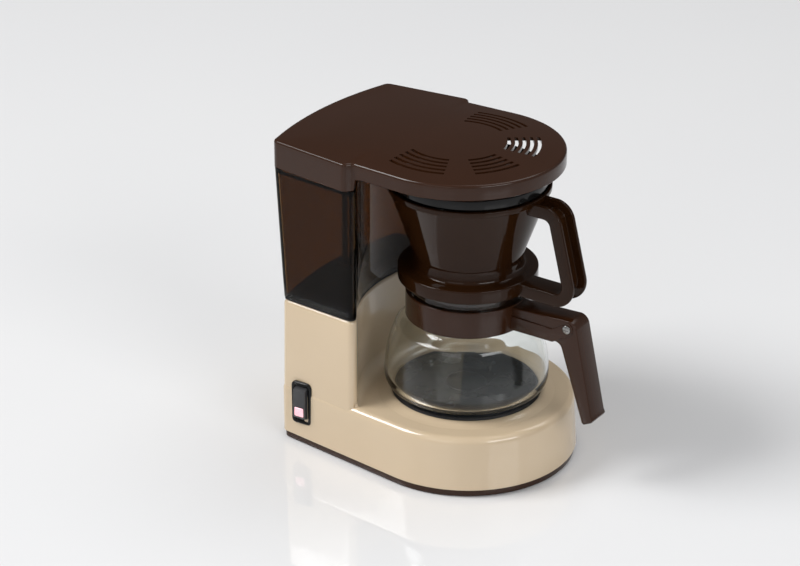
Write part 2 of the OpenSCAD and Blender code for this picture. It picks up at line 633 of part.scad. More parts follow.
bolt_y = -83.5;
bolt_z = 114.6;
bolt_r = 1.9;
module jug_collar() color(dark_brown) on_axis() difference() {
    union() {
        translate([0, 0, collar_z]) cylinder(r = collar_r, h = collar_top_z - collar_z);
        pair() translate([jug_handle_w / 2 + 0.1, 0, 0]) rotate([90, 0, 90]) linear_extrude(ear_t)
            hull() {
                translate([bolt_y, bolt_z]) circle(4.4, $fn = 32);
                polygon([[-36, 102], [-73, 102.6], [-78.5, 104.5], [-73, 111.6], [-36, 112.4]]);
            }
    }
    translate([0, 0, collar_z - 1]) cylinder(r = neck_r + 0.2, h = 30);
    translate([0, 0, collar_z - e]) cylinder(r1 = neck_r + 1.3, r2 = neck_r + 0.2, h = 2);
    translate([-20, bolt_y, bolt_z]) rotate([0, 90, 0]) cylinder(r = bolt_r + 0.1, h = 40);
}
module jug_handle() color(dark_brown) on_axis() difference() {
    rotate([90, 0, 90]) translate([0, 0, -jug_handle_w / 2]) linear_extrude(jug_handle_w)
        polygon(concat([[-38, 118.2]], arc_pts([-86.2, 116.2], 4.2, 88, 166),
            [[1.4 - handle_tip_y, 56], [-handle_tip_y, 53], [1 - handle_tip_y, 51], [-98.5, 48.2], [-97, 49]],
            arc_pts([-74.5, 97.6], 5.4, 162, 90), [[-38, 102.4]]));
    translate([0, 0, 90]) cylinder(r = collar_r + 0.1, h = 40);
    translate([-20, bolt_y, bolt_z]) rotate([0, 90, 0]) cylinder(r = bolt_r + 0.1, h = 40);
}
ear_out = jug_handle_w / 2 + 0.1 + ear_t;
module handle_screw() color(steel) on_axis() translate([-ear_out, bolt_y, bolt_z]) rotate([0, 90, 0]) {
    translate([0, 0, -1.2]) difference() {
        union() {
            cylinder(r1 = 2.2, r2 = 3, h = 0.7);
            translate([0, 0, 0.7 - e]) cylinder(r = 3, h = 0.5 + e);
        }
        translate([-0.4, -2, -0.3]) cube([0.8, 4, 0.8]);
        translate([-2, -0.4, -0.3]) cube([4, 0.8, 0.8]);
    }
    translate([0, 0, -e]) cylinder(r = bolt_r, h = 2 * ear_out + 2);
}
module handle_nut() color(steel) on_axis() translate([ear_out, bolt_y, bolt_z]) rotate([0, 90, 0])
    difference() {
        cylinder(r = 3.2, h = 2.2, $fn = 6);
        translate([0, 0, -1]) cylinder(r = bolt_r + 0.05, h = 5);
    }

/* ---- rocker switch ---- */
switch_yaw = 4.5;
switch_seat_x = 67.8;
frame_t = 2.2;
sleeve_depth = 10;
frame_hole_w = 10.1;
frame_hole_h = 26.8;
rocker_w = 9.5;
pivot_x = 2;
rocker_r = 12.8;
tip_angle = 22;
pin_r = 1.2;
module at_switch() translate([-switch_seat_x, switch_y, switch_z]) rotate([0, 0, switch_yaw]) children();
module round_rect(w, h, r) hull() for (x = [-1, 1], y = [-1, 1])
    translate([x * (w / 2 - r), y * (h / 2 - r)]) circle(r, $fn = 32);
module switch_plate(w, h, r, x0, x1) translate([x0, 0, 0]) rotate([90, 0, 90])
    linear_extrude(x1 - x0) round_rect(w, h, r);
module switch_frame() color(black) on_axis() at_switch() difference() {
    union() {
        switch_plate(switch_w, switch_h, 3.2, -frame_t, 0);
        translate([-e, 1.6 - switch_w / 2, 1.6 - switch_h / 2])
            cube([sleeve_depth, switch_w - 3.2, switch_h - 3.2]);
    }
    translate([-20, -frame_hole_w / 2, -frame_hole_h / 2]) cube([40, frame_hole_w, frame_hole_h]);
    translate([pivot_x, -10, 0]) rotate([-90, 0, 0]) cylinder(r = pin_r + 0.05, h = 20);
}
module switch_body() color(black) on_axis() at_switch() {
    translate([sleeve_depth, 1.6 - switch_w / 2, 1.6 - switch_h / 2])
        cube([9, switch_w - 3.2, switch_h - 3.2]);
    for (z = [-8, 0, 8]) translate([sleeve_depth + 9 - e, -2.4, z - 0.4]) cube([7, 4.8, 0.8]);
}
// The rocker rests in its on position: the top end is in, the lower end is out.
module at_rocker() on_axis() at_switch() translate([pivot_x, 0, 0]) rotate([0, -rocker_turn / 2, 0])
    children();
dip = 3.4;
module rocker_profile() polygon(concat([[2, 8.5]], arc_pts([0, 0], rocker_r, 84, 90 + tip_angle, 4),
    [[-dip, 0]], arc_pts([0, 0], rocker_r, 270 - tip_angle, 276, 4), [[2, -8.5]]));
lens_w = 6.2;
lens_h = 5.8;
lens_t = 1.2;
tip = rocker_r * [-sin(tip_angle), -cos(tip_angle)];
face_angle = atan2(-dip - tip[0], -tip[1]);
module on_lower_face() translate([-dip, 0, 0]) rotate([0, face_angle, 0]) children();
module lens_block(clear) on_lower_face() translate([-0.25, -lens_w / 2 - clear, -10.4 - clear])
    cube([lens_t + 0.25, lens_w + 2 * clear, lens_h + 2 * clear]);
module switch_rocker() color(anthracite) at_rocker() difference() {
    union() {
        translate([0, rocker_w / 2, 0]) rotate([90, 0, 0]) linear_extrude(rocker_w) rocker_profile();
        translate([0, -rocker_w / 2 - 0.9, 0]) rotate([-90, 0, 0]) cylinder(r = pin_r, h = rocker_w + 1.8);
    }
    lens_block(0);
}
module rocker_lens() color([0.95, 0.35, 0.35]) at_rocker() lens_block(0);

bottom_tray();
feet();
base_screws();
housing();
cord_gland();
hot_plate();
plate_seal();
heater_tube();
heater_clamp();
thermostat();
thermal_fuse();
inlet_hose();
check_valve();
outlet_hose();
hose_clips();
tank();
tank_seal();
tank_outlet();
riser_tube();
riser_collar();
outlet_arm();
spray_head();
lid();
filter_holder();
jug_glass();
jug_collar();
jug_handle();
handle_screw();
handle_nut();
switch_frame();
switch_body();
switch_rocker();
rocker_lens();
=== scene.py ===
"""Visual model of a small drip coffee maker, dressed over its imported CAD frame.

Sizes are in millimetres from the jug's axis, with the floor at z = 0 and the front
at -Y. They become metres in the frame of the CAD model when a mesh is made.
"""
import logging
import math
from collections.abc import Iterable, Sequence
from dataclasses import dataclass, field
from enum import Enum
from functools import partial
from typing import Any

import bmesh
import bpy
from mathutils import Matrix, Vector


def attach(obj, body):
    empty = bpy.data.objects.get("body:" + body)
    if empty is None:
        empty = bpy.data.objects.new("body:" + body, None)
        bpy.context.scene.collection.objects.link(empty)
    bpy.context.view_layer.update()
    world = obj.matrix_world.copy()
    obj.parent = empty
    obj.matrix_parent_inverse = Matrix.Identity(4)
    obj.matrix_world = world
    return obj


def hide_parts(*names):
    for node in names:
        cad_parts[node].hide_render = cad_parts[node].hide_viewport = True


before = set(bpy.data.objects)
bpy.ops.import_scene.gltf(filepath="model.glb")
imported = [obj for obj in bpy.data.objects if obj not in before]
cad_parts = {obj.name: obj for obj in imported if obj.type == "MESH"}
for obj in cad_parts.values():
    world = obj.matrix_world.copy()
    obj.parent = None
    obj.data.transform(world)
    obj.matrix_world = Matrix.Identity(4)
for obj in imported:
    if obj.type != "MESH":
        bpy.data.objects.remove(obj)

log = logging.getLogger("coffee_maker")

AXIS_Y = -8.0
"""Place of the jug's axis along Y in the CAD frame, in millimetres."""

FINE_STEPS = 160
"""Straight pieces in the large round shapes."""

Flat = tuple[float, float]
Spot = tuple[float, float, float]


# ---------------------------------------------------------------- small helpers


def linear(code: str, alpha: float = 1.0) -> tuple[float, float, float, float]:
    """Turn an sRGB hex colour into linear values.

    Args:
        code: Colour such as "#D8C4A8".
        alpha: Fourth value of the result.

    Returns:
        Red, green, blue and alpha, each from 0 to 1.
    """
    parts = [int(code[i:i + 2], 16) / 255 for i in (1, 3, 5)]
    red, green, blue = (c / 12.92 if c <= 0.04045 else ((c + 0.055) / 1.055) ** 2.4 for c in parts)
    return red, green, blue, alpha


def add(tree: bpy.types.NodeTree, kind: str, links: dict[Any, Any] | None = None, **settings: Any) -> bpy.types.Node:
    """Add one node to a tree.

    Args:
        tree: Tree that gets the node.
        kind: Blender's name of the node's type.
        links: Value or source socket for each input, by its name or number.
        **settings: Properties of the node.

    Returns:
        The new node.
    """
    node = tree.nodes.new(kind)
    for key, value in settings.items():
        setattr(node, key, value)
    for key, value in (links or {}).items():
        if isinstance(value, bpy.types.NodeSocket):
            tree.links.new(value, node.inputs[key])
        else:
            node.inputs[key].default_value = value
    return node


def cleared(owner: bpy.types.Material | bpy.types.World) -> bpy.types.NodeTree:
    """Empty the node tree of a material or world and return it."""
    owner.use_nodes = True
    owner.node_tree.nodes.clear()
    return owner.node_tree


def started(name: str) -> tuple[bpy.types.Material, bpy.types.NodeTree, bpy.types.NodeSocket]:
    """Start a material: the material, its empty tree and the object's own coordinates."""
    material = bpy.data.materials.new(name)
    tree = cleared(material)
    return material, tree, add(tree, "ShaderNodeTexCoord").outputs["Object"]


def noise(tree: bpy.types.NodeTree, place: bpy.types.NodeSocket, scale: float, detail: float = 2.0,
          distortion: float = 0.0) -> bpy.types.NodeSocket:
    """Add noise at a scale per metre and return its value."""
    return add(tree, "ShaderNodeTexNoise", {"Vector": place, "Scale": scale, "Detail": detail,
               "Distortion": distortion}).outputs[0]


def mixed(tree: bpy.types.NodeTree, share: bpy.types.NodeSocket, first: str, second: str) -> bpy.types.NodeSocket:
    """Blend two sRGB hex colours by a share and return the colour."""
    return add(tree, "ShaderNodeMix", {0: share, 6: linear(first), 7: linear(second)}, data_type="RGBA").outputs[2]


def linked(name: str, data: Any) -> bpy.types.Object:
    """Put a mesh, lamp or camera into the scene as an object."""
    made = bpy.data.objects.new(name, data)
    bpy.context.scene.collection.objects.link(made)
    return made


def turns(first: int, step: int, last: int = 90) -> list[float]:
    """Angles in radians, from first to last degree in equal steps."""
    return [math.radians(a) for a in range(first, last + 1, step)]


def arc(cx: float, cy: float, radius: float, start: float, end: float, steps: int) -> list[Flat]:
    """Points on an arc, both ends included, with its angles in degrees."""
    turns = [math.radians(start + (end - start) * i / steps) for i in range(steps + 1)]
    return [(cx + radius * math.cos(t), cy + radius * math.sin(t)) for t in turns]


def bezier(a: Flat, b: Flat, c: Flat, d: Flat, steps: int) -> list[Flat]:
    """Points on a cubic curve from a to d, both ends included."""
    out = []
    for i in range(steps + 1):
        t = i / steps
        w = ((1 - t) ** 3, 3 * t * (1 - t) ** 2, 3 * t * t * (1 - t), t ** 3)
        out.append(tuple(sum(k * p[n] for k, p in zip(w, (a, b, c, d))) for n in (0, 1)))
    return out


def rounded(corners: Sequence[tuple[float, float, float]], steps: int = 6) -> list[Flat]:
    """Round the corners of a closed outline.

    Args:
        corners: x, y and radius of each corner; radius 0 keeps the point as it is.
        steps: Straight pieces in each rounding.

    Returns:
        The rounded outline.
    """
    out: list[Flat] = []
    for i, (x, y, radius) in enumerate(corners):
        if radius <= 0:
            out.append((x, y))
            continue
        here = Vector((x, y))
        back = (Vector(corners[i - 1][:2]) - here).normalized()
        on = (Vector(corners[(i + 1) % len(corners)][:2]) - here).normalized()
        half = back.angle(on) / 2
        middle = here + (back + on).normalized() * radius / math.sin(half)
        start = here + back * radius / math.tan(half) - middle
        end = here + on * radius / math.tan(half) - middle
        turn = start.angle_signed(end)
        for k in range(steps + 1):
            spoke = Matrix.Rotation(-turn * k / steps, 2) @ start
            out.append(tuple(middle + spoke))
    return out


def inset(outline: Sequence[Flat], depth: float) -> list[Flat]:
    """Move a closed outline inwards, keeping its number of points.

    Args:
        outline: Points, counter-clockwise or clockwise.
        depth: How far it moves, in millimetres.

    Returns:
        The smaller outline.
    """
    area = sum(a[0] * b[1] - b[0] * a[1] for a, b in zip(outline, [*outline[1:], outline[0]]))
    side = 1 if area > 0 else -1
    out = []
    for i, p in enumerate(outline):
        a, b = Vector(outline[i - 1]), Vector(outline[(i + 1) % len(outline)])
        u, v = (Vector(p) - a).normalized(), (b - Vector(p)).normalized()
        normal = Vector((-u.y - v.y, u.x + v.x)).normalized() * side
        reach = depth / max(0.4, normal.dot(Vector((-u.y, u.x)) * side))
        out.append(tuple(Vector(p) + normal * reach))
    return out


def both_sides(half: Sequence[Flat]) -> list[Flat]:
    """Close a half outline, drawn from rear to front on the +X side, with its mirror image."""
    return [*half, *[(-x, y) for x, y in reversed(half) if x > 1e-4]]


def at_height(outline: Iterable[Flat], z: float) -> list[Spot]:
    """Lift a flat outline to a height."""
    return [(x, y, z) for x, y in outline]


# ---------------------------------------------------------------- meshes


@dataclass
class Skin:
    """Vertices and faces of one mesh while it is built, in millimetres."""

    spots: list[Spot] = field(default_factory=list)
    faces: list[tuple[int, ...]] = field(default_factory=list)

    def loft(self, rings: Sequence[Sequence[Spot]], capped: bool = True, looped: bool = False) -> "Skin":
        """Join rings of equally many points.

        Args:
            rings: The rings, each a closed line.
            capped: Close the first and the last ring with a face.
            looped: Join the last ring to the first one instead.

        Returns:
            This skin, so that calls can follow each other.
        """
        base, n = len(self.spots), len(rings[0])
        for ring in rings:
            self.spots.extend(ring)
        last = len(rings) if looped else len(rings) - 1
        for k in range(last):
            low, high = base + k * n, base + (k + 1) % len(rings) * n
            for i in range(n):
                j = (i + 1) % n
                self.faces.append((low + i, low + j, high + j, high + i))
        if capped and not looped:
            self.faces.append(tuple(base + i for i in reversed(range(n))))
            self.faces.append(tuple(base + (len(rings) - 1) * n + i for i in range(n)))
        return self

    def revolve(self, profile: Sequence[Flat], steps: int = 144, looped: bool = False) -> "Skin":
        """Turn a profile of radius and height round the jug's axis."""
        circle = [(math.cos(2 * math.pi * i / steps), math.sin(2 * math.pi * i / steps)) for i in range(steps)]
        return self.loft([[(r * c, r * s, z) for c, s in circle] for r, z in profile], capped=False, looped=looped)

    def plate(self, outline: Sequence[Flat], low: float, high: float, edge: float) -> "Skin":
        """Stand a flat outline of y and z up across X, with rounded edges.

        Args:
            outline: Points of y and z.
            low: Lower end along X.
            high: Upper end along X.
            edge: Radius of the rounded edges.

        Returns:
            This skin.
        """
        rings = []
        for x, sign in ((low, 1), (high, -1)):
            steps = [(edge * (1 - math.sin(a)), edge * (1 - math.cos(a))) for a in turns(0, 30)]
            part = [[(x + sign * out, y, z) for y, z in inset(outline, deep)] for deep, out in steps]
            rings.extend(part if sign > 0 else reversed(part))
        return self.loft(rings)

    def moved(self, place: Matrix) -> "Skin":
        """Carry every point through a placing matrix."""
        self.spots = [tuple(place @ Vector(p)) for p in self.spots]
        return self

    def piece(self, name: str, finish: bpy.types.Material, sharp: float = 34.0) -> bpy.types.Object:
        """Make the object, in metres and in the CAD frame.

        Args:
            name: Name of the object.
            finish: Its material.
            sharp: Edges that turn by more than this many degrees stay crisp.

        Returns:
            The new object.
        """
        mesh = bpy.data.meshes.new(name)
        mesh.from_pydata([(x / 1000, (y + AXIS_Y) / 1000, z / 1000) for x, y, z in self.spots], [], self.faces)
        tidy(mesh, sharp)
        mesh.materials.append(finish)
        return linked(name, mesh)


def tidy(mesh: bpy.types.Mesh, sharp: float) -> None:
    """Merge double points, turn the faces outwards and shade them smooth up to an angle in degrees."""
    work = bmesh.new()
    work.from_mesh(mesh)
    bmesh.ops.remove_doubles(work, verts=work.verts, dist=1e-7)
    bmesh.ops.dissolve_degenerate(work, edges=work.edges, dist=1e-8)
    bmesh.ops.recalc_face_normals(work, faces=work.faces)
    work.to_mesh(mesh)
    work.free()
    mesh.shade_smooth()
    mesh.set_sharp_from_angle(angle=math.radians(sharp))


def settled(piece: bpy.types.Object, sharp: float = 34.0) -> bpy.types.Object:
    """Apply every modifier of a piece, so that it is a plain mesh.

    Args:
        piece: Object with live modifiers.
        sharp: Edges that turn by more than this many degrees stay crisp.

    Returns:
        The same object, with its final mesh.
    """
    graph = bpy.context.evaluated_depsgraph_get()
    made = bpy.data.meshes.new_from_object(piece.evaluated_get(graph), depsgraph=graph)
    piece.modifiers.clear()
    piece.data = made
    tidy(made, sharp)
    return piece


def cut(piece: bpy.types.Object, tool: bpy.types.Object, sharp: float = 34.0) -> bpy.types.Object:
    """Take one object's shape out of another and remove the tool."""
    saw = piece.modifiers.new("cut", "BOOLEAN")
    saw.operation, saw.solver, saw.object = "DIFFERENCE", "EXACT", tool
    settled(piece, sharp)
    bpy.data.objects.remove(tool)
    return piece


def ready(piece: bpy.types.Object, body: str, slot: str, *nodes: str) -> bpy.types.Object:
    """Hand a finished piece to the frame.

    Args:
        piece: The piece, in its place.
        body: CAD body that it rides on.
        slot: Material slot of the record; not used.
        *nodes: CAD nodes that it stands for.

    Returns:
        The same piece.
    """
    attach(piece, body)
    if nodes:
        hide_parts(*nodes)
    log.info("%s rides on %s, %d faces", piece.name, body, len(piece.data.polygons))
    return piece


# ---------------------------------------------------------------- finishes


@dataclass(frozen=True)
class Moulded:
    """Injection-moulded plastic or rubber with a faintly uneven skin.

    The colour drifts between two close tones, the gloss is duller in handled patches,
    and a slight waviness bends the reflections.
    """

    name: str
    colour: str
    second: str
    roughness: float = 0.2
    dulled: float = 0.08
    ior: float = 1.5
    level: float = 0.5
    coat: float = 0.0
    drift_mm: float = 45.0
    wave_mm: float = 9.0
    wave_um: float = 3.0
    transmission: float = 0.0
    glow: float = 0.0

    def build(self) -> bpy.types.Material:
        """Build the material.

        Returns:
            The new material.
        """
        material, tree, place = started(self.name)
        tone = mixed(tree, noise(tree, place, 1000 / self.drift_mm, 3.0), self.colour, self.second)
        smudge = noise(tree, place, 1000 / 14, 4.0, 0.4)
        gloss = add(tree, "ShaderNodeMapRange", {"Value": smudge, "From Min": 0.35, "From Max": 0.75,
                    "To Min": self.roughness, "To Max": self.roughness + self.dulled})
        wave = noise(tree, place, 1000 / self.wave_mm)
        bump = add(tree, "ShaderNodeBump", {"Height": wave, "Distance": self.wave_um / 1e6, "Strength": 1.0})
        shader = add(tree, "ShaderNodeBsdfPrincipled", {"Base Color": tone, "Roughness": gloss.outputs[0],
                     "IOR": self.ior, "Specular IOR Level": self.level, "Coat Weight": self.coat,
                     "Coat Roughness": 0.04, "Transmission Weight": self.transmission, "Normal": bump.outputs[0],
                     "Emission Strength": self.glow})
        if self.glow:
            tree.links.new(tone, shader.inputs["Emission Color"])
        add(tree, "ShaderNodeOutputMaterial", {"Surface": shader.outputs[0]})
        return material


@dataclass(frozen=True)
class Metal:
    """Bare or plated metal with fine drawn lines and small differences in gloss."""

    name: str
    colour: str
    second: str
    roughness: float = 0.25
    line_mm: float = 0.8
    line_um: float = 4.0

    def build(self) -> bpy.types.Material:
        """Build the material.

        Returns:
            The new material.
        """
        material, tree, place = started(self.name)
        tone = mixed(tree, noise(tree, place, 1000 / 6, 4.0), self.colour, self.second)
        drawn = add(tree, "ShaderNodeMapping", {"Vector": place, "Scale": (1.0, 0.08, 1.0)})
        line = noise(tree, drawn.outputs[0], 1000 / self.line_mm)
        gloss = add(tree, "ShaderNodeMapRange", {"Value": line, "To Min": self.roughness * 0.7,
                    "To Max": self.roughness * 1.4})
        bump = add(tree, "ShaderNodeBump", {"Height": line, "Distance": self.line_um / 1e6, "Strength": 1.0})
        shader = add(tree, "ShaderNodeBsdfPrincipled", {"Base Color": tone, "Metallic": 1.0,
                     "Roughness": gloss.outputs[0], "Normal": bump.outputs[0]})
        add(tree, "ShaderNodeOutputMaterial", {"Surface": shader.outputs[0]})
        return material


class Finish(Enum):
    """Every finish of the machine, by what the real one is."""

    # High-gloss ABS: warm cream, mirror-smooth, faint waviness in its reflections.
    CREAM_ABS = Moulded("cream_gloss_abs", "#D6C1A3", "#D0BA9B", 0.16, 0.06, 1.53, 0.5, 0.45)
    # Glossy polypropylene: deep brown, slightly soft reflections.
    BROWN_PP = Moulded("brown_moulded_polypropylene", "#351D0F", "#301A0C", 0.16, 0.06, 1.5, 0.3)
    # Smoked styrene acrylonitrile: see-through brown, darker with every wall looked through.
    SMOKED_SAN = Moulded("smoked_clear_san", "#7A5C3A", "#745636", 0.02, 0.02, 1.2, 0.5, 0.0, 60, 14, 2, 1.0)
    # Dark smoked plastic of the cone: glossy, lets through only a little brown light.
    SMOKED_CONE = Moulded("dark_smoked_moulded_plastic", "#321C0C", "#2C1809", 0.05, 0.04, 1.45, 0.12, 0.0, 40, 12, 2,
                          0.25)
    # Blown borosilicate glass: clear, with slow waves from blowing.
    CLEAR_GLASS = Moulded("blown_borosilicate_glass", "#FBFDFB", "#F8FBFA", 0.0, 0.01, 1.36, 0.5, 0.0, 60, 20, 6, 1.0)
    # Glossy black phenolic: near black with sharp reflections.
    BLACK_GLOSS = Moulded("gloss_black_moulded_plastic", "#101010", "#141414", 0.14, 0.06, 1.5, 0.25)
    # Moulded rubber: black, matt, a little dusty.
    BLACK_RUBBER = Moulded("moulded_black_rubber", "#141313", "#1B1A1A", 0.55, 0.15, 1.52, 0.4, 0.0, 12, 1.5, 8)
    # Non-stick coating on steel: anthracite, satin, with a fine orange peel.
    COATED_STEEL = Moulded("anthracite_nonstick_coating", "#15181F", "#121419", 0.25, 0.1, 1.45, 0.15, 0.0, 30, 2.5, 5)
    # Satin nylon of the rocker: dark grey, finely grained.
    GREY_NYLON = Moulded("satin_grey_nylon", "#3B3B3D", "#343436", 0.28, 0.1, 1.53, 0.5, 0.0, 8, 1.2, 4)
    # Lit polycarbonate window: pale pink, glowing evenly.
    LIT_WINDOW = Moulded("lit_red_polycarbonate", "#F7C3CB", "#F2A6B2", 0.2, 0.05, 1.58, 0.5, 0.0, 3, 1.5, 3, 0.0, 0.55)
    # Extruded silicone hose: milky, rubbery.
    SILICONE = Moulded("milky_silicone_hose", "#D9D5CC", "#CFCABF", 0.45, 0.15, 1.41, 0.4, 0.0, 18, 4, 6)
    # Extruded aluminium of the flow heater.
    ALUMINIUM = Metal("extruded_aluminium", "#B4B5B8", "#A5A6AA", 0.34)
    # Zinc-plated steel of screws, clips and straps.
    ZINC_STEEL = Metal("zinc_plated_steel", "#BDBCB8", "#A9A8A4", 0.3, 1.2, 3)
    # Polished, nickel-plated steel of the handle screw.
    BRIGHT_STEEL = Metal("polished_nickel_plated_steel", "#9A9996", "#8B8A88", 0.16, 1.5, 2)


class Paints:
    """Builds each finish once and hands it out."""

    def __init__(self) -> None:
        """Start with no materials."""
        self._made: dict[Finish, bpy.types.Material] = {}

    def of(self, finish: Finish) -> bpy.types.Material:
        """Return the material of a finish, building it at its first use."""
        if finish not in self._made:
            self._made[finish] = finish.value.build()
        return self._made[finish]


# ---------------------------------------------------------------- repeated shapes


def grown(name: str, tree: bpy.types.NodeTree, values: dict[str, Any], sharp: float = 34.0) -> bpy.types.Object:
    """Run a Geometry Nodes tree and keep its result as a plain mesh.

    Args:
        name: Name of the object.
        tree: The tree, with named inputs.
        values: Value of each input, by its name.
        sharp: Edges that turn by more than this many degrees stay crisp.

    Returns:
        The object, without the modifier.
    """
    piece = linked(name, bpy.data.meshes.new(name))
    maker = piece.modifiers.new("maker", "NODES")
    maker.node_group = tree
    keys = {item.name: item.identifier for item in tree.interface.items_tree if item.in_out == "INPUT"}
    for key, value in values.items():
        maker[keys[key]] = value
    return settled(piece, sharp)


def new_tree(name: str, **inputs: str) -> tuple[bpy.types.NodeTree, bpy.types.bpy_prop_collection]:
    """Start a Geometry Nodes tree.

    Args:
        name: Name of the tree.
        **inputs: Names of the inputs of each kind, such as Float, with spaces between them.

    Returns:
        The tree and the sockets of its input node.
    """
    tree = bpy.data.node_groups.new(name, "GeometryNodeTree")
    for kind, keys in inputs.items():
        for key in keys.split():
            tree.interface.new_socket(name=key, in_out="INPUT", socket_type="NodeSocket" + kind)
    tree.interface.new_socket(name="Geometry", in_out="OUTPUT", socket_type="NodeSocketGeometry")
    return tree, add(tree, "NodeGroupInput").outputs


def sum_of(tree: bpy.types.NodeTree, operation: str, *values: Any) -> bpy.types.NodeSocket:
    """Add a Math node and return its result."""
    return add(tree, "ShaderNodeMath", dict(enumerate(values)), operation=operation).outputs[0]


def slot_tree() -> bpy.types.NodeTree:
    """Build the tree that lays curved bars side by side round a centre.

    Returns:
        A tree with the inputs Count, First, Pitch, Width, From, Lean, To, Low, High and Finish.
    """
    tree, g = new_tree("curved_bars", Int="Count", Float="First Pitch Width From Lean To Low High", Material="Finish")
    math_of = partial(sum_of, tree)
    bar = add(tree, "GeometryNodeMeshCube",
              {"Size": (1.0, 1.0, 1.0), "Vertices X": 25, "Vertices Y": 2, "Vertices Z": 2})
    line = add(tree, "GeometryNodeMeshLine", {"Count": g["Count"], "Offset": (0.0, 0.0, 0.0)})
    number = add(tree, "GeometryNodeInputIndex")
    told = add(tree, "GeometryNodeStoreNamedAttribute",
               {"Geometry": line.outputs[0], "Name": "bar", "Value": number.outputs[0]},
               data_type="FLOAT", domain="POINT")
    laid = add(tree, "GeometryNodeInstanceOnPoints", {"Points": told.outputs[0], "Instance": bar.outputs[0]})
    real = add(tree, "GeometryNodeRealizeInstances", {"Geometry": laid.outputs[0]})
    at = add(tree, "ShaderNodeSeparateXYZ", {0: add(tree, "GeometryNodeInputPosition").outputs[0]}).outputs
    which = add(tree, "GeometryNodeInputNamedAttribute", {"Name": "bar"}, data_type="FLOAT").outputs[0]
    radius = math_of("ADD", math_of("MULTIPLY_ADD", which, g["Pitch"], g["First"]),
                    math_of("MULTIPLY", at[1], g["Width"]))
    start = math_of("MULTIPLY_ADD", which, g["Lean"], g["From"])
    share = math_of("ADD", at[0], 0.5)
    turn = math_of("MULTIPLY_ADD", share, math_of("SUBTRACT", g["To"], start), start)
    rise = math_of("MULTIPLY_ADD", math_of("ADD", at[2], 0.5), math_of("SUBTRACT", g["High"], g["Low"]),
                  g["Low"])
    place = add(tree, "ShaderNodeCombineXYZ", {0: math_of("MULTIPLY", radius, math_of("COSINE", turn)),
                1: math_of("MULTIPLY", radius, math_of("SINE", turn)), 2: rise})
    bent = add(tree, "GeometryNodeSetPosition", {"Geometry": real.outputs[0], "Position": place.outputs[0]})
    dressed = add(tree, "GeometryNodeSetMaterial", {"Geometry": bent.outputs[0], "Material": g["Finish"]})
    add(tree, "NodeGroupOutput", {"Geometry": dressed.outputs[0]})
    return tree


def round_tree() -> bpy.types.NodeTree:
    """Build the tree that repeats a short cylinder along a line.

    Returns:
        A tree with the inputs Count, Start, Step, Radius, Depth, Turn and Finish.
    """
    tree, g = new_tree("row_of_rings", Int="Count", Vector="Start Step", Float="Radius Depth", Rotation="Turn",
                       Material="Finish")
    ring = add(tree, "GeometryNodeMeshCylinder", {"Vertices": 48, "Radius": g["Radius"], "Depth": g["Depth"]})
    line = add(tree, "GeometryNodeMeshLine", {"Count": g["Count"], "Start Location": g["Start"], "Offset": g["Step"]})
    laid = add(tree, "GeometryNodeInstanceOnPoints",
               {"Points": line.outputs[0], "Instance": ring.outputs[0], "Rotation": g["Turn"]})
    real = add(tree, "GeometryNodeRealizeInstances", {"Geometry": laid.outputs[0]})
    dressed = add(tree, "GeometryNodeSetMaterial", {"Geometry": real.outputs[0], "Material": g["Finish"]})
    add(tree, "NodeGroupOutput", {"Geometry": dressed.outputs[0]})
    return tree


# ---------------------------------------------------------------- outlines of the machine


@dataclass
class Plan:
    """Shapes in plan that housing, tank and lid share."""

    bay_radius: float = 100.0
    bay_middle: float = 68.5
    bulge: float = 7.8

    @property
    def hub(self) -> float:
        """Y of the middle that the hollow front is drawn round."""
        return self.bay_middle - self.bay_radius

    def rear(self, half_width: float, corner_y: float, bulge: float, corner: float, steps: int = 14) -> list[Flat]:
        """Rear arc and rear corner of a section, from its middle to its +X side."""
        radius = (half_width ** 2 + bulge ** 2) / (2 * bulge)
        centre = corner_y + bulge - radius
        reach = math.degrees(math.asin((half_width - corner) / radius))
        back = arc(0, centre, radius, 90, 90 - reach, steps)
        x, y = back[-1]
        return [*back, *arc(x, y - corner, corner, 90 - reach * 0.9, 0, 7)[1:]]

    def section(self, half_width: float, rear_y: float, front_half: float, deep: float, nose: float) -> list[Flat]:
        """Outline of a section through tower or tank, its hollow front included.

        Args:
            half_width: Half of its width at the rear corners.
            rear_y: Where the rear corners are.
            front_half: Half of its width at the front corners.
            deep: How far the whole outline is moved inwards.
            nose: Radius of the front corners.

        Returns:
            Closed outline, its points in the same order for every section.
        """
        back = self.rear(half_width - deep, rear_y - deep, self.bulge, 4.5 - min(deep, 2.5))
        x0, y0 = back[-1]
        edge = front_half - deep
        r = max(0.6, nose - deep)
        cx = edge - r
        cy = self.hub + math.sqrt((self.bay_radius + deep + r) ** 2 - cx * cx)
        side = [(x0 + (edge - x0) * t / 10, y0 + (cy - y0) * t / 10) for t in range(1, 10)]
        swing = math.degrees(math.atan2(cy - self.hub, cx))
        tip = arc(cx, cy, r, 0, -(180 - swing), 12)
        hollow = arc(0, self.hub, self.bay_radius + deep, swing, 90, 26)[1:]
        return both_sides([*back, *side, *tip, *hollow])


# ---------------------------------------------------------------- the machine's parts


@dataclass
class SubAssembly:
    """Pieces that are made together and take their finishes from one set of paints."""

    paints: Paints

    def make(self, skin: Skin, name: str, finish: Finish, place: tuple[str, str, str], sharp: float = 34.0) -> None:
        """Turn a skin into a piece and hand it to the frame.

        Args:
            skin: The piece's skin.
            name: Its name.
            finish: Its finish.
            place: CAD body that it rides on, material slot, and CAD node that it stands for.
            sharp: Edges that turn by more than this many degrees stay crisp.
        """
        ready(skin.piece(name, self.paints.of(finish), sharp), *place)


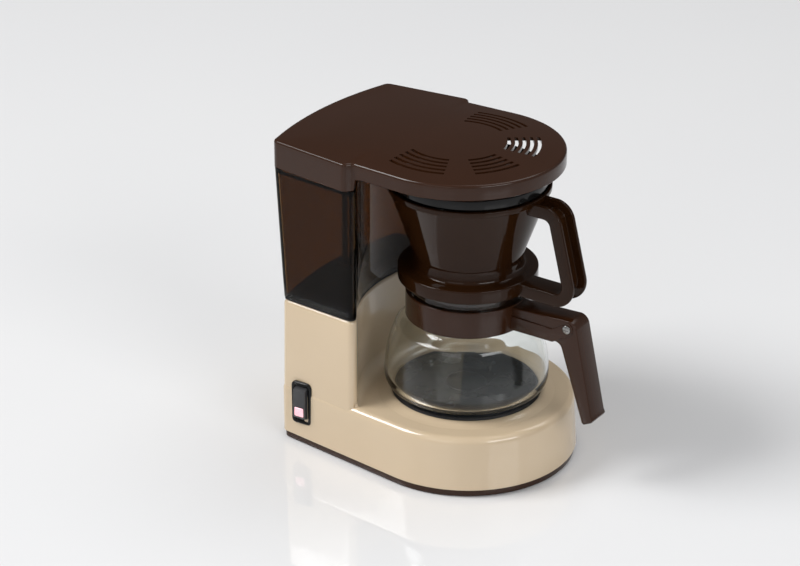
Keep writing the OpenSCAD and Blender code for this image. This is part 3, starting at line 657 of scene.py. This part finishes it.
@dataclass
class Base(SubAssembly):
    """Bottom tray, cream housing with the jug's deck, feet and cord gland."""

    plan: Plan
    seam_z: float = 5.2
    deck_z: float = 43.0
    top_z: float = 105.4
    front: float = 76.5
    front_top: float = 74.3
    edge: float = 5.0
    rim: float = 3.2
    rear_half: float = 67.3
    rear_y: float = 107.2
    top_half: float = 65.2
    top_y: float = 106.4
    gland_z: float = 15.0

    def deck_outline(self, radius: float, deep: float = 0.0) -> list[Flat]:
        """Outline of the deck: round in front, tapering to the rear corners."""
        back = self.plan.rear(self.rear_half - deep, self.rear_y - deep, self.plan.bulge, 5.0 - min(deep, 3.0))
        x, y = back[-1]
        reach = math.degrees(math.atan2(y, x)) - math.degrees(math.acos((radius - deep) / math.hypot(x, y)))
        round_front = arc(0, 0, radius - deep, reach, -90, 44)
        fx, fy = round_front[0]
        side = [(x + (fx - x) * t / 16, y + (fy - y) * t / 16) for t in range(1, 16)]
        return both_sides([*back, *side, *round_front])

    def tray(self) -> None:
        """Dark band under the housing."""
        low, top = self.deck_outline(self.front, 1.2), self.deck_outline(self.front, 0.9)
        rings = [at_height(self.deck_outline(self.front, 1.6), 0.5), at_height(low, 0.9), at_height(top, 4.0),
                 at_height(top, self.seam_z)]
        self.make(Skin().loft(rings), "tray_band", Finish.BROWN_PP, ("machine", "brown_plastic", "bottom_tray"))

    def tower_outline(self, z: float, deep: float = 0.0) -> list[Flat]:
        """Outline of the tower at a height."""
        low, high = self.seam_z, self.top_z
        t = (z - low) / (high - low)
        half = self.rear_half + (self.top_half - self.rear_half) * t
        rear = self.rear_y + (self.top_y - self.rear_y) * t
        front = 71.3 - 0.5 * min(1, (z - low) / 33) - 3.3 * max(0, (z - 38.2) / (high - 38.2))
        return self.plan.section(half, rear, front, deep, 4.2)

    def housing(self) -> None:
        """Deck, tower and the hollow moulding between them, as one piece."""
        skin = Skin()
        rings = [at_height(self.deck_outline(self.front, 0.5), self.seam_z),
                 at_height(self.deck_outline(self.front), self.seam_z + 0.5)]
        low = self.deck_z - self.edge
        for z in (16, 27, low):
            radius = self.front + (self.front_top - self.front) * (z - self.seam_z) / (low - self.seam_z)
            rings.append(at_height(self.deck_outline(radius), z))
        for turn in turns(10, 10):
            rings.append(at_height(self.deck_outline(self.front_top, self.edge * (1 - math.cos(turn))),
                                   low + self.edge * math.sin(turn)))
        skin.loft(rings)
        heights = [self.seam_z + 0.5, 20, 38.2, 60, 82, self.top_z - self.rim]
        tower = [at_height(self.tower_outline(z), z) for z in heights]
        for turn in turns(15, 15):
            tower.append(at_height(self.tower_outline(self.top_z, self.rim * (1 - math.cos(turn))),
                                   self.top_z - self.rim * (1 - math.sin(turn))))
        skin.loft(tower)
        skin.loft(self.cove())
        lip = [(51.3, 42.0), (51.3, 44.2), *arc(51.8, 44.1, 0.5, 170, 90, 4), (52.8, 44.62), (54.2, 44.4),
               (56.0, 43.9), (58.0, 43.4), (60.5, 43.02), (61.0, 42.0)]
        skin.revolve(lip, FINE_STEPS, looped=True)
        self.make(skin, "housing_shell", Finish.CREAM_ABS, ("machine", "housing_beige", "housing"), 40)

    def cove(self) -> list[list[Spot]]:
        """Rounded inner corner between the deck and the hollow wall of the tower."""
        rings, bay = [], self.plan.bay_radius
        for k in range(61):
            turn = math.radians(132.2 - 84.4 * k / 60)
            size = 9.0 * min(1.0, 3.2 * min(k, 60 - k) / 60 + 0.05) ** 0.6
            curve = arc(-size, size, size, -90, 0, 10)
            ring = [(bay + u + 0.05, self.deck_z + v + 0.02) for u, v in curve]
            ring += [(bay + 2.0, self.deck_z + size), (bay + 2.0, self.deck_z - 2), (bay - size, self.deck_z - 2)]
            rings.append([(r * math.cos(turn), self.plan.hub + r * math.sin(turn), z) for r, z in ring])
        return rings

    def feet(self) -> None:
        """Four rubber feet, made as two rows of discs."""
        tree, finish = round_tree(), self.paints.of(Finish.BLACK_RUBBER)
        skins = []
        for y, half in ((100.0, 50.0), (-48.0, 46.0)):
            skins.append(grown("foot_row", tree, {"Count": 2, "Radius": 0.006, "Depth": 0.0024, "Finish": finish,
                         "Start": (-half / 1000, (y + AXIS_Y) / 1000, 0.0012), "Step": (half / 500, 0.0, 0.0)}))
        ready(join("rubber_feet", skins), "machine", "black_rubber", "feet")

    def gland_ring(self, radius: float, y: float, steps: int = 64) -> list[Spot]:
        """Circle across Y round the gland's axis."""
        spokes = [2 * math.pi * i / steps for i in range(steps)]
        return [(radius * math.cos(t), y, self.gland_z + radius * math.sin(t)) for t in spokes]

    def gland(self) -> None:
        """Ribbed rubber gland low in the rear wall, for the mains lead."""
        finish = self.paints.of(Finish.BLACK_RUBBER)
        ribs = grown("gland_ribs", round_tree(), {"Count": 3, "Radius": 0.0056, "Depth": 0.0006, "Finish": finish,
                     "Start": (0.0, (115.7 + AXIS_Y) / 1000, self.gland_z / 1000), "Step": (0.0, 0.0009, 0.0),
                     "Turn": (math.radians(90), 0.0, 0.0)})
        sleeve = [(3.4, 107.4), (5.3, 107.4), (5.3, 115.0), (6.5, 115.1), (6.4, 115.7), (5.2, 116.0), (5.0, 117.9),
                  (3.9, 118.0), (3.4, 117.5)]
        rings = [self.gland_ring(r, y) for r, y in sleeve]
        body = Skin().loft(rings, capped=False, looped=True).piece("gland_body", finish)
        drill = Skin().loft([self.gland_ring(3.4, y) for y in (100.0, 120.0)]).piece("gland_drill", finish)
        cut(ribs, drill)
        ready(join("cord_gland_ribbed", [body, ribs]), "machine", "black_rubber", "cord_gland")


def join(name: str, pieces: Sequence[bpy.types.Object]) -> bpy.types.Object:
    """Join plain meshes of one finish into one object."""
    work = bmesh.new()
    for piece in pieces:
        work.from_mesh(piece.data)
    mesh = bpy.data.meshes.new(name)
    work.to_mesh(mesh)
    work.free()
    mesh.materials.append(pieces[0].data.materials[0])
    mesh.shade_smooth()
    mesh.set_sharp_from_angle(angle=math.radians(34))
    for piece in pieces:
        bpy.data.objects.remove(piece)
    return linked(name, mesh)


@dataclass
class HotPlate(SubAssembly):
    """Coated steel plate in its black rubber ring."""

    top_z: float = 46.7
    radius: float = 49.0
    ring: float = 51.0

    def build(self) -> None:
        """Make the plate with its pressed circle, and the ring round it."""
        z = self.top_z
        plate = [(0, z - 1.6), (39.7, z - 1.6), (39.7, 42.0), (38.1, 41.0), (38.1, z - 1.7), (39.9, z - 1.6),
                 (48.9, z - 1.6), (self.radius, z - 0.9), *arc(48.1, z - 0.9, 0.9, 15, 90, 4), (15.0, z),
                 (14.7, z - 0.16), (14.4, z - 0.45), (14.0, z - 0.45), (13.7, z - 0.16), (13.4, z), (0, z)]
        self.make(Skin().revolve(plate), "heating_plate", Finish.COATED_STEEL, ("machine", "coated_plate", "hot_plate"))
        rim = [(40.0, 43.0), (self.ring - 0.4, 43.0), *arc(self.ring - 0.8, 43.9, 0.8, -60, 60, 5),
               (self.ring - 0.8, z - 0.9), (self.ring - 1.4, z - 0.62), (49.5, z - 0.6), (49.1, z - 0.8),
               (49.1, z - 1.6), (40.0, z - 1.6)]
        self.make(Skin().revolve(rim, looped=True), "plate_ring", Finish.BLACK_RUBBER,
                  ("machine", "black_rubber", "plate_seal"))


@dataclass
class Tank(SubAssembly):
    """See-through water tank with its gasket and the riser tube inside."""

    plan: Plan
    low_z: float = 106.8
    high_z: float = 200.2
    wall: float = 2.2

    def outline(self, z: float, deep: float = 0.0) -> list[Flat]:
        """Outline of the tank at a height."""
        t = (z - self.low_z) / (self.high_z - self.low_z)
        return self.plan.section(65.2, 106.4 + 5.7 * t, 67.5 + 1.9 * t, deep, 3.8)

    def build(self) -> None:
        """Make the tank's wall, the gasket and the tube."""
        foot = ((0.8, 0.0), (0.25, 0.3), (0.0, 0.9))
        outer = [at_height(self.outline(self.low_z, deep), self.low_z + up) for deep, up in foot]
        outer += [at_height(self.outline(z), z) for z in (120, 140, 160, 180, self.high_z)]
        rim = self.outline(self.high_z, 2.9)
        outer += [at_height(rim, self.high_z + 0.1), at_height(rim, 216.8)]
        inner = [at_height(self.outline(self.high_z, 2.9 + self.wall), z) for z in (216.8, self.high_z - 3)]
        heights = (self.high_z - 4, 180, 160, 140, 120, self.low_z + 3.4)
        inner += [at_height(self.outline(z, self.wall), z) for z in heights]
        inner.append(at_height(self.outline(self.low_z, self.wall + 0.8), self.low_z + 2.6))
        self.make(Skin().loft([*outer, *inner]), "tank_shell", Finish.SMOKED_SAN, ("machine", "smoked_tank", "tank"))
        mat = ((0.9, 105.4), (0.4, 105.7), (0.4, 106.5), (0.9, 106.8))
        gasket = [at_height(self.outline(self.low_z, deep), z) for deep, z in mat]
        self.make(Skin().loft(gasket), "tank_gasket", Finish.BLACK_RUBBER, ("machine", "black_rubber", "tank_seal"))
        tube = [(2.4, 94.0), (3.4, 94.0), (3.57, 94.6), (3.57, 109.3), (6.4, 109.5), (6.4, 204.4), (2.4, 204.4)]
        pipe = Skin().revolve(tube, 64, looped=True).moved(Matrix.Translation((0, 97, 0)))
        self.make(pipe, "riser_pipe", Finish.SMOKED_CONE, ("machine", "smoked_filter", "riser_tube"))


@dataclass
class Lid(SubAssembly):
    """Lift-off lid with its side steps, domed top and curved steam slots."""

    plan: Plan
    edge_z: float = 220.0
    crown: float = 3.1
    rear_z: float = 200.5
    front_z: float = 209.4
    wall: float = 2.2
    edge: float = 2.0
    slots: tuple[tuple[float, float, float], ...] = ((154.0, 205.0, 1.75), (226.0, 261.0, 0.0))
    """First angle, last angle and lean of each group of slots on one side, in degrees."""

    def outline(self) -> tuple[list[Flat], list[float]]:
        """Outline of the lid and the height of its lower edge at each point.

        Returns:
            The closed outline and one height per point.
        """
        back = self.plan.rear(65.6, 112.3, 9.0, 6.0, 18)
        x, y = back[-1]
        front = arc(0, 6.3, 68.7, 2.5, -90, 56)
        fx, fy = front[0]
        turn = rounded([(x, y, 0), (72.3, 49.4, 4.4), (67.15, 45.6, 3.2), (fx, fy, 0)], 8)[1:-1]
        tx, ty = turn[0]
        side = [(x + (tx - x) * t / 12, y + (ty - y) * t / 12) for t in range(1, 12)]
        sx, sy = turn[-1]
        run = [(sx + (fx - sx) * t / 6, sy + (fy - sy) * t / 6) for t in range(1, 6)]
        half = [*back, *side, *turn, *run, *front]
        low, step_at = [], len(back) + len(side) + len(turn) - 5
        for i in range(len(half)):
            t = min(1.0, max(0.0, (i - step_at) / 5))
            low.append(self.rear_z + (self.front_z - self.rear_z) * t * t * (3 - 2 * t))
        mirror = [h for (px, _), h in zip(reversed(half), reversed(low)) if px > 1e-4]
        return both_sides(half), [*low, *mirror]

    def ring(self, outline: Sequence[Flat], share: float, lift: float = 0.0) -> list[Spot]:
        """Ring of the domed top at a share of the way from its middle."""
        ring = []
        for x, y in outline:
            px, py = x * share, 40 + (y - 40) * share
            rise = self.crown * (1 - (px / 73) ** 2) * (1 - ((py - 28) / 94) ** 2) * (1 - share ** 8)
            ring.append((px, py, self.edge_z + rise - lift))
        return ring

    def build(self) -> None:
        """Make the lid's shell and cut its slots."""
        line, low = self.outline()
        rings = [[(x, y, z) for (x, y), z in zip(inset(line, 0.5), low)],
                 [(x, y, z + 0.5) for (x, y), z in zip(line, low)],
                 at_height(line, 214.0), at_height(line, self.edge_z - self.edge)]
        for turn in turns(15, 15):
            rings.append(at_height(inset(line, self.edge * (1 - math.cos(turn))),
                                   self.edge_z - self.edge * (1 - math.sin(turn))))
        top = inset(line, self.edge)
        shares = (0.985, 0.95, 0.9, 0.84, 0.77, 0.69, 0.6, 0.5, 0.4, 0.3, 0.2, 0.1, 0.04)
        rings += [self.ring(top, s) for s in shares]
        under = inset(line, self.wall)
        roof = inset(line, self.wall + 1)
        inner = [[(x, y, z) for (x, y), z in zip(under, low)],
                 at_height(under, self.edge_z - 3.2), at_height(roof, self.edge_z - 2.4)]
        inner += [self.ring(roof, s, 2.3) for s in (0.95, 0.8, 0.6, 0.4, 0.2, 0.04)]
        lid = Skin().loft([*reversed(inner), *rings]).piece("lid_cover", self.paints.of(Finish.BROWN_PP), 30)
        tree, bars = slot_tree(), []
        for side in (1, -1):
            for first, last, lean in self.slots:
                angles = [math.radians(a) for a in (first, lean, last)]
                if side < 0:
                    angles = [math.pi - angles[0], -angles[1], math.pi - angles[2]]
                bar = grown("slot_bars", tree, {"Count": 5, "First": 0.034, "Pitch": 0.005, "Width": 0.0024,
                            "From": angles[0], "Lean": angles[1], "To": angles[2], "Low": 0.214, "High": 0.228,
                            "Finish": lid.data.materials[0]})
                bar.data.transform(Matrix.Translation((0, (10 + AXIS_Y) / 1000, 0)))
                bars.append(bar)
        cut(lid, join("slot_tool", bars), 30)
        ready(lid, "lid", "brown_plastic", "lid")


@dataclass
class Filter(SubAssembly):
    """Filter cone on its foot disc, with the open channel of its handle."""

    width: float = 18.0
    side_wall: float = 2.5
    web: float = 3.0
    depth: float = 9.0

    def loop(self, out: float) -> list[Flat]:
        """Line of y and z that the handle follows, at a distance from its inner side."""
        return [(-46.0, 187.2 + out), (-53.0, 187.2 + out), *arc(-62.6, 182.0, 5.2 + out, 90, 166, 12),
                *arc(-72.2, 142.8, 5.8 + out, 166, 270, 16), (-62.0, 137.0 - out), (-44.0, 137.0 - out)]

    def build(self) -> None:
        """Make the cone with its disc, and the handle's channel."""
        outer = [(30, 137.0), (30, 135.1), (36, 135.1), (36, 128.3), (41.5, 128.3), (41.5, 135.1), (44.9, 135.1),
                 (44.9, 128.0), (46.6, 128.0), *arc(46.3, 128.8, 0.8, -60, 0, 3), *arc(46.1, 136.3, 1.0, 0, 90, 5),
                 (42.5, 137.32), *bezier((40.0, 137.35), (37.4, 137.5), (36.9, 139.5), (36.8, 146), 8),
                 (53.4, 192.6), *arc(53.9, 193.4, 0.7, -60, 0, 3), *arc(54.1, 196.0, 0.5, 0, 90, 3)]
        inner = [(52.9, 196.5), (52.4, 196.0), (34.7, 149), (29, 139), (2.5, 139), (2.5, 137.0)]
        skin = Skin().revolve([*outer, *inner], FINE_STEPS, looped=True)
        spigot = [(33.6, 111.0), (36.4, 111.0), (37.2, 120.0), (37.2, 128.2), (35.0, 135.5), (33.6, 135.5)]
        skin.revolve(spigot, 96, looped=True)
        half, wall, web, high = self.width / 2, self.side_wall, self.web, self.depth
        shape = rounded([(-half, 0, 1.0), (half, 0, 1.0), (half, high, 0.7), (half - wall, high, 0.7),
                         (half - wall, web, 0.5), (wall - half, web, 0.5), (wall - half, high, 0.7),
                         (-half, high, 0.7)], 3)
        lanes = [[(x, y, z) for y, z in self.loop(out)] for x, out in shape]
        cup = skin.piece("filter_cup", self.paints.of(Finish.SMOKED_CONE), 32)
        grip = Skin().loft(list(zip(*lanes))).piece("filter_grip", self.paints.of(Finish.SMOKED_CONE), 32)
        ready(join("filter_cup_and_grip", [cup, grip]), "filter", "smoked_filter", "filter_holder")


@dataclass
class Jug(SubAssembly):
    """Blown glass jug with its moulded collar, handle and screw."""

    foot_z: float = 47.0
    belly: float = 56.0
    neck: float = 39.5
    glass: float = 2.0
    grip_half: float = 8.6
    screw: Flat = (-83.5, 114.6)

    def profile(self) -> list[Flat]:
        """Outer line of the glass, from the middle of its foot to its mouth."""
        foot = [(47 + 9 * math.sin(a), self.foot_z + 10 * (1 - math.cos(a))) for a in turns(0, 9)]
        belly = [(self.belly * math.sqrt(1 - ((z - 57) / 72) ** 2), z) for z in [58 + 2 * k for k in range(18)]]
        x, z = belly[-1]
        slope = -self.belly * (z - 57) / 72 ** 2 / math.sqrt(1 - ((z - 57) / 72) ** 2)
        neck = bezier((x, z), (x + slope * 4.5, z + 4.5), (self.neck, 96.8), (self.neck, 103.5), 12)[1:]
        return [*foot, *belly, *neck, (self.neck, 110), (self.neck, 120), (self.neck, 127.2)]

    def build(self) -> None:
        """Make the glass, the collar with its ears, the handle and the screw."""
        line = self.profile()
        inner = []
        for i, (r, z) in enumerate(line):
            a, b = line[max(0, i - 1)], line[min(len(line) - 1, i + 1)]
            along = Vector((b[0] - a[0], b[1] - a[1])).normalized()
            inner.append((r - along.y * self.glass, z + along.x * self.glass))
        z = self.foot_z
        foot = [(0, z + 1.8), (20, z + 1.8),
                *bezier((44.0, z + 1.8), (49.6, z + 1.9), (53.6, z + 5.5), (54.0, z + 12.0), 12)]
        inner = [*foot, *(p for p in inner if p[1] > z + 13)]
        lip = arc(self.neck - 1.0, 127.0, 1.0, 20, 160, 6)
        glass = Skin().revolve([(0, self.foot_z), *line, *lip, *reversed(inner)], FINE_STEPS)
        self.make(glass, "jug", Finish.CLEAR_GLASS, ("jug", "clear_glass", "jug_glass"), 60)
        self.collar()
        self.handle()
        self.bolt()

    def collar(self) -> None:
        """Ring round the neck with the two ears that hold the handle."""
        ring = [(40.8, 100.4), (41.3, 100.4), *arc(41.1, 101.2, 0.8, -60, 0, 4), *arc(41.1, 118.5, 0.8, 0, 90, 5),
                (40.2, 119.3), (39.7, 118.8), (39.7, 102.4)]
        skin = Skin().revolve(ring, FINE_STEPS, looped=True)
        y, z = self.screw
        ear = [(-38.0, 102.2), (-73.0, 102.6), *arc(y, z, 4.4, 248, 100, 10), (-72.0, 111.8), (-38.0, 112.4)]
        for low in (7.1, -9.5):
            skin.plate(ear, low, low + 2.4, 0.4)
        self.make(skin, "collar_ring", Finish.BROWN_PP, ("jug", "brown_plastic", "jug_collar"))

    def handle(self) -> None:
        """Flat grip that turns down from the collar to its cut-off end."""
        line = [(-40.0, 118.2), *arc(-83.6, 113.4, 7.0, 88, 166, 12), (-103.8, 56.0), (-105.1, 53.0), (-104.2, 51.2),
                (-98.5, 48.3), (-96.9, 49.4), *arc(-74.5, 97.6, 5.4, 162, 90, 6), (-40.0, 102.4)]
        grip = Skin().plate(line, -self.grip_half, self.grip_half, 0.8)
        self.make(grip, "jug_grip", Finish.BROWN_PP, ("jug", "brown_plastic", "jug_handle"))

    def bolt(self) -> None:
        """Polished cross-head screw through both ears."""
        y, z = self.screw
        head = [(3.0 * math.sin(a), -0.55 - 0.7 * math.cos(a)) for a in turns(15, 15)]
        profile = [(0, -1.25), *head, (3.0, 0), (1.9, 0), (1.9, 21), (0, 21)]
        place = Matrix.Translation((-9.5, y, z)) @ Matrix.Rotation(math.radians(90), 4, "Y")
        finish = self.paints.of(Finish.BRIGHT_STEEL)
        screw = Skin().revolve(profile, 48).moved(place).piece("handle_bolt", finish)
        for a, b in ((0.4, 2.0), (2.0, 0.4)):
            slot = Skin().loft([[(x, -a, -b), (x, a, -b), (x, a, b), (x, -a, b)] for x in (-1.6, -0.8)])
            cut(screw, slot.moved(Matrix.Translation((-9.5, y, z))).piece("cross_tool", finish))
        ready(screw, "jug", "bright_steel", "handle_screw")


@dataclass
class Shower(SubAssembly):
    """Black spray head over the filter."""

    radius: float = 52.5
    low_z: float = 197.1
    high_z: float = 203.7

    def build(self) -> None:
        """Make the dish with its rounded edge and middle boss."""
        r, lo, hi = self.radius, self.low_z, self.high_z
        line = [(1.5, lo), (r - 0.9, lo), *arc(r - 0.9, lo + 0.9, 0.9, -60, 0, 4),
                *arc(r - 0.4, hi - 0.4, 0.4, 0, 90, 3), (r - 2.0, hi), (r - 2.0, lo + 2.4), (r - 2.6, lo + 1.6),
                (7.0, lo + 1.6), (7.0, hi), (4.0, hi), (4.0, lo + 1.6), (1.5, lo + 1.6)]
        piece = Skin().revolve(line, FINE_STEPS, looped=True).piece("spray_dish", self.paints.of(Finish.BLACK_GLOSS))
        tree = round_tree()
        drops = []
        for k in range(4):
            a = math.radians(45 * k)
            x, y = 0.022 * math.cos(a), 0.022 * math.sin(a)
            drops.append(grown("drip_bars", tree, {"Count": 2, "Radius": 0.0015, "Depth": 0.008,
                         "Finish": piece.data.materials[0], "Start": (-x, AXIS_Y / 1000 - y, lo / 1000),
                         "Step": (2 * x, 2 * y, 0.0)}))
        cut(piece, join("drip_tool", drops))
        ready(piece, "machine", "black_plastic", "spray_head")


@dataclass
class Switch(SubAssembly):
    """Rocker switch low in the left side, with its lit window."""

    seat: Spot = (-67.8, 89.0, 32.5)
    yaw: float = 4.5
    width: float = 16.0
    height: float = 32.0
    pin: float = 0.9
    rest_tilt: float = -10.0
    window_tilt: float = 12.3

    def place(self) -> Matrix:
        """Place of the switch: local +X points into the machine."""
        return Matrix.Translation(self.seat) @ Matrix.Rotation(math.radians(self.yaw), 4, "Z")

    @staticmethod
    def frame_ring(x: float, width: float, height: float, radius: float) -> list[Spot]:
        """Rounded rectangle across the local X axis."""
        w, h = width / 2, height / 2
        line = rounded([(w, h, radius), (-w, h, radius), (-w, -h, radius), (w, -h, radius)], 8)
        return [(x, y, z) for y, z in line]

    def build(self) -> None:
        """Make the bezel, the rocker and its window."""
        w, h = self.width, self.height
        steps = [(10, w - 3.3, h - 3.3, 1.7), (0.1, w - 3.3, h - 3.3, 1.7), (0.1, w, h, 3.4), (-1.0, w, h, 3.4),
                 (-1.6, w - 0.35, h - 0.35, 3.2), (-2.05, w - 1.2, h - 1.2, 2.8), (-2.2, w - 2.2, h - 2.2, 2.3),
                 (-2.1, w - 3.4, h - 3.0, 1.7), (-1.6, 10.4, 27.2, 1.2), (-1.0, 10.1, 26.8, 1.1), (10, 10.1, 26.8, 1.1)]
        skin = Skin().loft([self.frame_ring(*step) for step in steps], capped=False, looped=True)
        skin.loft([self.frame_ring(x, 11.0, 27.6, 1.2) for x in (0.3, -1.0)])
        skin = skin.moved(self.place())
        self.make(skin, "switch_bezel", Finish.BLACK_GLOSS, ("machine", "black_plastic", "switch_frame"))
        radius, tip, half = 12.8, 22.0, 9.5 / 2
        line = [(2, 8.5), *arc(0, 0, radius, 84, 90 + tip, 5),
                *bezier((-5.2, 10.0), (-6.0, 5.0), (-7.0, 1.0), (-8.6, -7.6), 8), (-8.3, -8.6),
                *bezier((-7.4, -9.2), (-6.0, -10.2), (-4.6, -11.2), (-3.0, -12.4), 4), (2, -8.5)]
        key = Skin().plate(line, -half, half, 0.45)
        key.spots = [(y, -x, z) for x, y, z in key.spots]
        pin = [(self.pin * math.cos(t), self.pin * math.sin(t)) for t in turns(0, 15, 345)]
        key.loft([[(x, y, z) for x, z in pin] for y in (-half - self.pin, half + self.pin)])
        pivot = self.place() @ Matrix.Translation((2, 0, 0)) @ Matrix.Rotation(math.radians(self.rest_tilt), 4, "Y")
        self.make(key.moved(pivot), "rocker_key", Finish.GREY_NYLON, ("rocker", "rocker_grey", "switch_rocker"), 28)
        face = pivot @ Matrix.Translation((-6.9, 0, 0)) @ Matrix.Rotation(math.radians(self.window_tilt), 4, "Y")
        lens = rounded([(3.6, -7.2, 0.7), (3.6, -0.6, 0.7), (-3.6, -0.6, 0.7), (-3.6, -7.2, 0.7)], 4)
        rings = [[(x, *p) for p in inset(lens, d)] for x, d in ((0.25, 0), (-0.1, 0), (-0.5, 0.35), (-0.55, 0.8))]
        window = Skin().loft(rings).moved(face)
        self.make(window, "lit_window", Finish.LIT_WINDOW, ("rocker", "signal_lens", "rocker_lens"))


# ---------------------------------------------------------------- finishes of the inner CAD nodes

INNER: dict[str, Finish] = {
    "base_screws": Finish.ZINC_STEEL, "heater_tube": Finish.ALUMINIUM, "heater_clamp": Finish.ZINC_STEEL,
    "thermostat": Finish.BLACK_GLOSS, "thermal_fuse": Finish.ZINC_STEEL, "inlet_hose": Finish.SILICONE,
    "check_valve": Finish.BLACK_GLOSS, "outlet_hose": Finish.SILICONE, "hose_clips": Finish.ZINC_STEEL,
    "tank_outlet": Finish.BLACK_GLOSS, "riser_collar": Finish.BLACK_RUBBER, "outlet_arm": Finish.BLACK_GLOSS,
    "handle_nut": Finish.ZINC_STEEL, "switch_body": Finish.BLACK_GLOSS,
}


def dress_nodes(paints: Paints) -> None:
    """Give the CAD nodes that stay their real finish."""
    for name, finish in INNER.items():
        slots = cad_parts[name].data.materials
        slots.clear()
        slots.append(paints.of(finish))


# ---------------------------------------------------------------- studio


@dataclass
class Studio:
    """Pale floor, soft lamps, pale surroundings and the camera."""

    lens_mm: float = 108.0
    eye: Spot = (-1211.91, -806.07, 815.81)
    azimuth: float = -54.84
    elevation: float = 25.585
    roll: float = 0.137

    def camera(self) -> None:
        """Set up the camera for a frame of 800 by 566."""
        data = bpy.data.cameras.new("camera")
        data.sensor_width, data.lens = 36.0, self.lens_mm
        data.clip_start, data.clip_end = 0.05, 50
        a, e, r = (math.radians(v) for v in (self.azimuth, self.elevation, self.roll))
        back = Vector((math.sin(a) * math.cos(e), -math.cos(a) * math.cos(e), math.sin(e)))
        right = Vector((math.cos(a), math.sin(a), 0))
        up = back.cross(right)
        x = math.cos(r) * right + math.sin(r) * up
        y = -math.sin(r) * right + math.cos(r) * up
        camera = linked("camera", data)
        turn = Matrix((x, y, back)).transposed().to_4x4()
        camera.matrix_world = Matrix.Translation(Vector(self.eye) / 1000) @ turn
        bpy.context.scene.camera = camera

    def floor(self) -> None:
        """Pale, softly polished floor that keeps the shadow and a faint mirror image."""
        mesh = bpy.data.meshes.new("floor")
        mesh.from_pydata([(-6, -6, 0), (6, -6, 0), (6, 6, 0), (-6, 6, 0)], [], [(0, 1, 2, 3)])
        floor = linked("floor", mesh)
        material, tree, place = started("pale_polished_floor")
        tone = mixed(tree, noise(tree, place, 3.0), "#EDEDED", "#EAEAEB")
        shader = add(tree, "ShaderNodeBsdfPrincipled", {"Base Color": tone, "Roughness": 0.02, "IOR": 1.55})
        add(tree, "ShaderNodeOutputMaterial", {"Surface": shader.outputs[0]})
        mesh.materials.append(material)

    def lamp(self, name: str, place: Spot, size: Flat, watts: float) -> None:
        """Hang a soft lamp that shines at the machine."""
        data = bpy.data.lights.new(name, "AREA")
        data.shape, data.size, data.size_y, data.energy = "RECTANGLE", size[0], size[1], watts
        lamp = linked(name, data)
        aim = Vector((0.1, 0.1, 0.1)) - Vector(place)
        lamp.matrix_world = Matrix.Translation(place) @ aim.to_track_quat("-Z", "Y").to_matrix().to_4x4()

    def build(self) -> None:
        """Set up camera, floor, lamps and world."""
        self.camera()
        self.floor()
        self.lamp("key_softbox", (-2.5, 3.0, 4.3), (2.4, 2.4), 230)
        self.lamp("left_softbox", (-5.0, -0.8, 2.6), (3.0, 2.0), 20)
        self.lamp("front_softbox", (-1.6, -5.2, 3.0), (3.2, 2.0), 100)
        self.lamp("top_softbox", (2.6, -0.6, 5.5), (3.5, 3.5), 85)
        world = bpy.data.worlds.new("studio")
        tree = cleared(world)
        heading = add(tree, "ShaderNodeVectorMath", {0: add(tree, "ShaderNodeTexCoord").outputs["Generated"],
                      1: (0.82, 0.57, 0.0)}, operation="DOT_PRODUCT").outputs["Value"]
        level = add(tree, "ShaderNodeMapRange",
                    {"Value": heading, "From Min": 0.2, "From Max": 0.8, "To Min": 0.42, "To Max": 0.12})
        sky = add(tree, "ShaderNodeBackground", {"Color": linear("#F4F5F7"), "Strength": level.outputs[0]})
        add(tree, "ShaderNodeOutputWorld", {"Surface": sky.outputs[0]})
        bpy.context.scene.world = world
        bpy.context.scene.view_settings.view_transform = "Standard"


def main() -> None:
    """Build the machine and its studio."""
    logging.basicConfig(level=logging.INFO, format="%(message)s")
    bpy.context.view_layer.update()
    Studio().build()
    paints, plan = Paints(), Plan()
    base = Base(paints, plan)
    base.tray()
    base.housing()
    base.feet()
    base.gland()
    HotPlate(paints).build()
    Tank(paints, plan).build()
    Lid(paints, plan).build()
    Filter(paints).build()
    Jug(paints).build()
    Shower(paints).build()
    Switch(paints).build()
    dress_nodes(paints)
    bpy.context.view_layer.update()


if __name__ == "__main__":
    main()
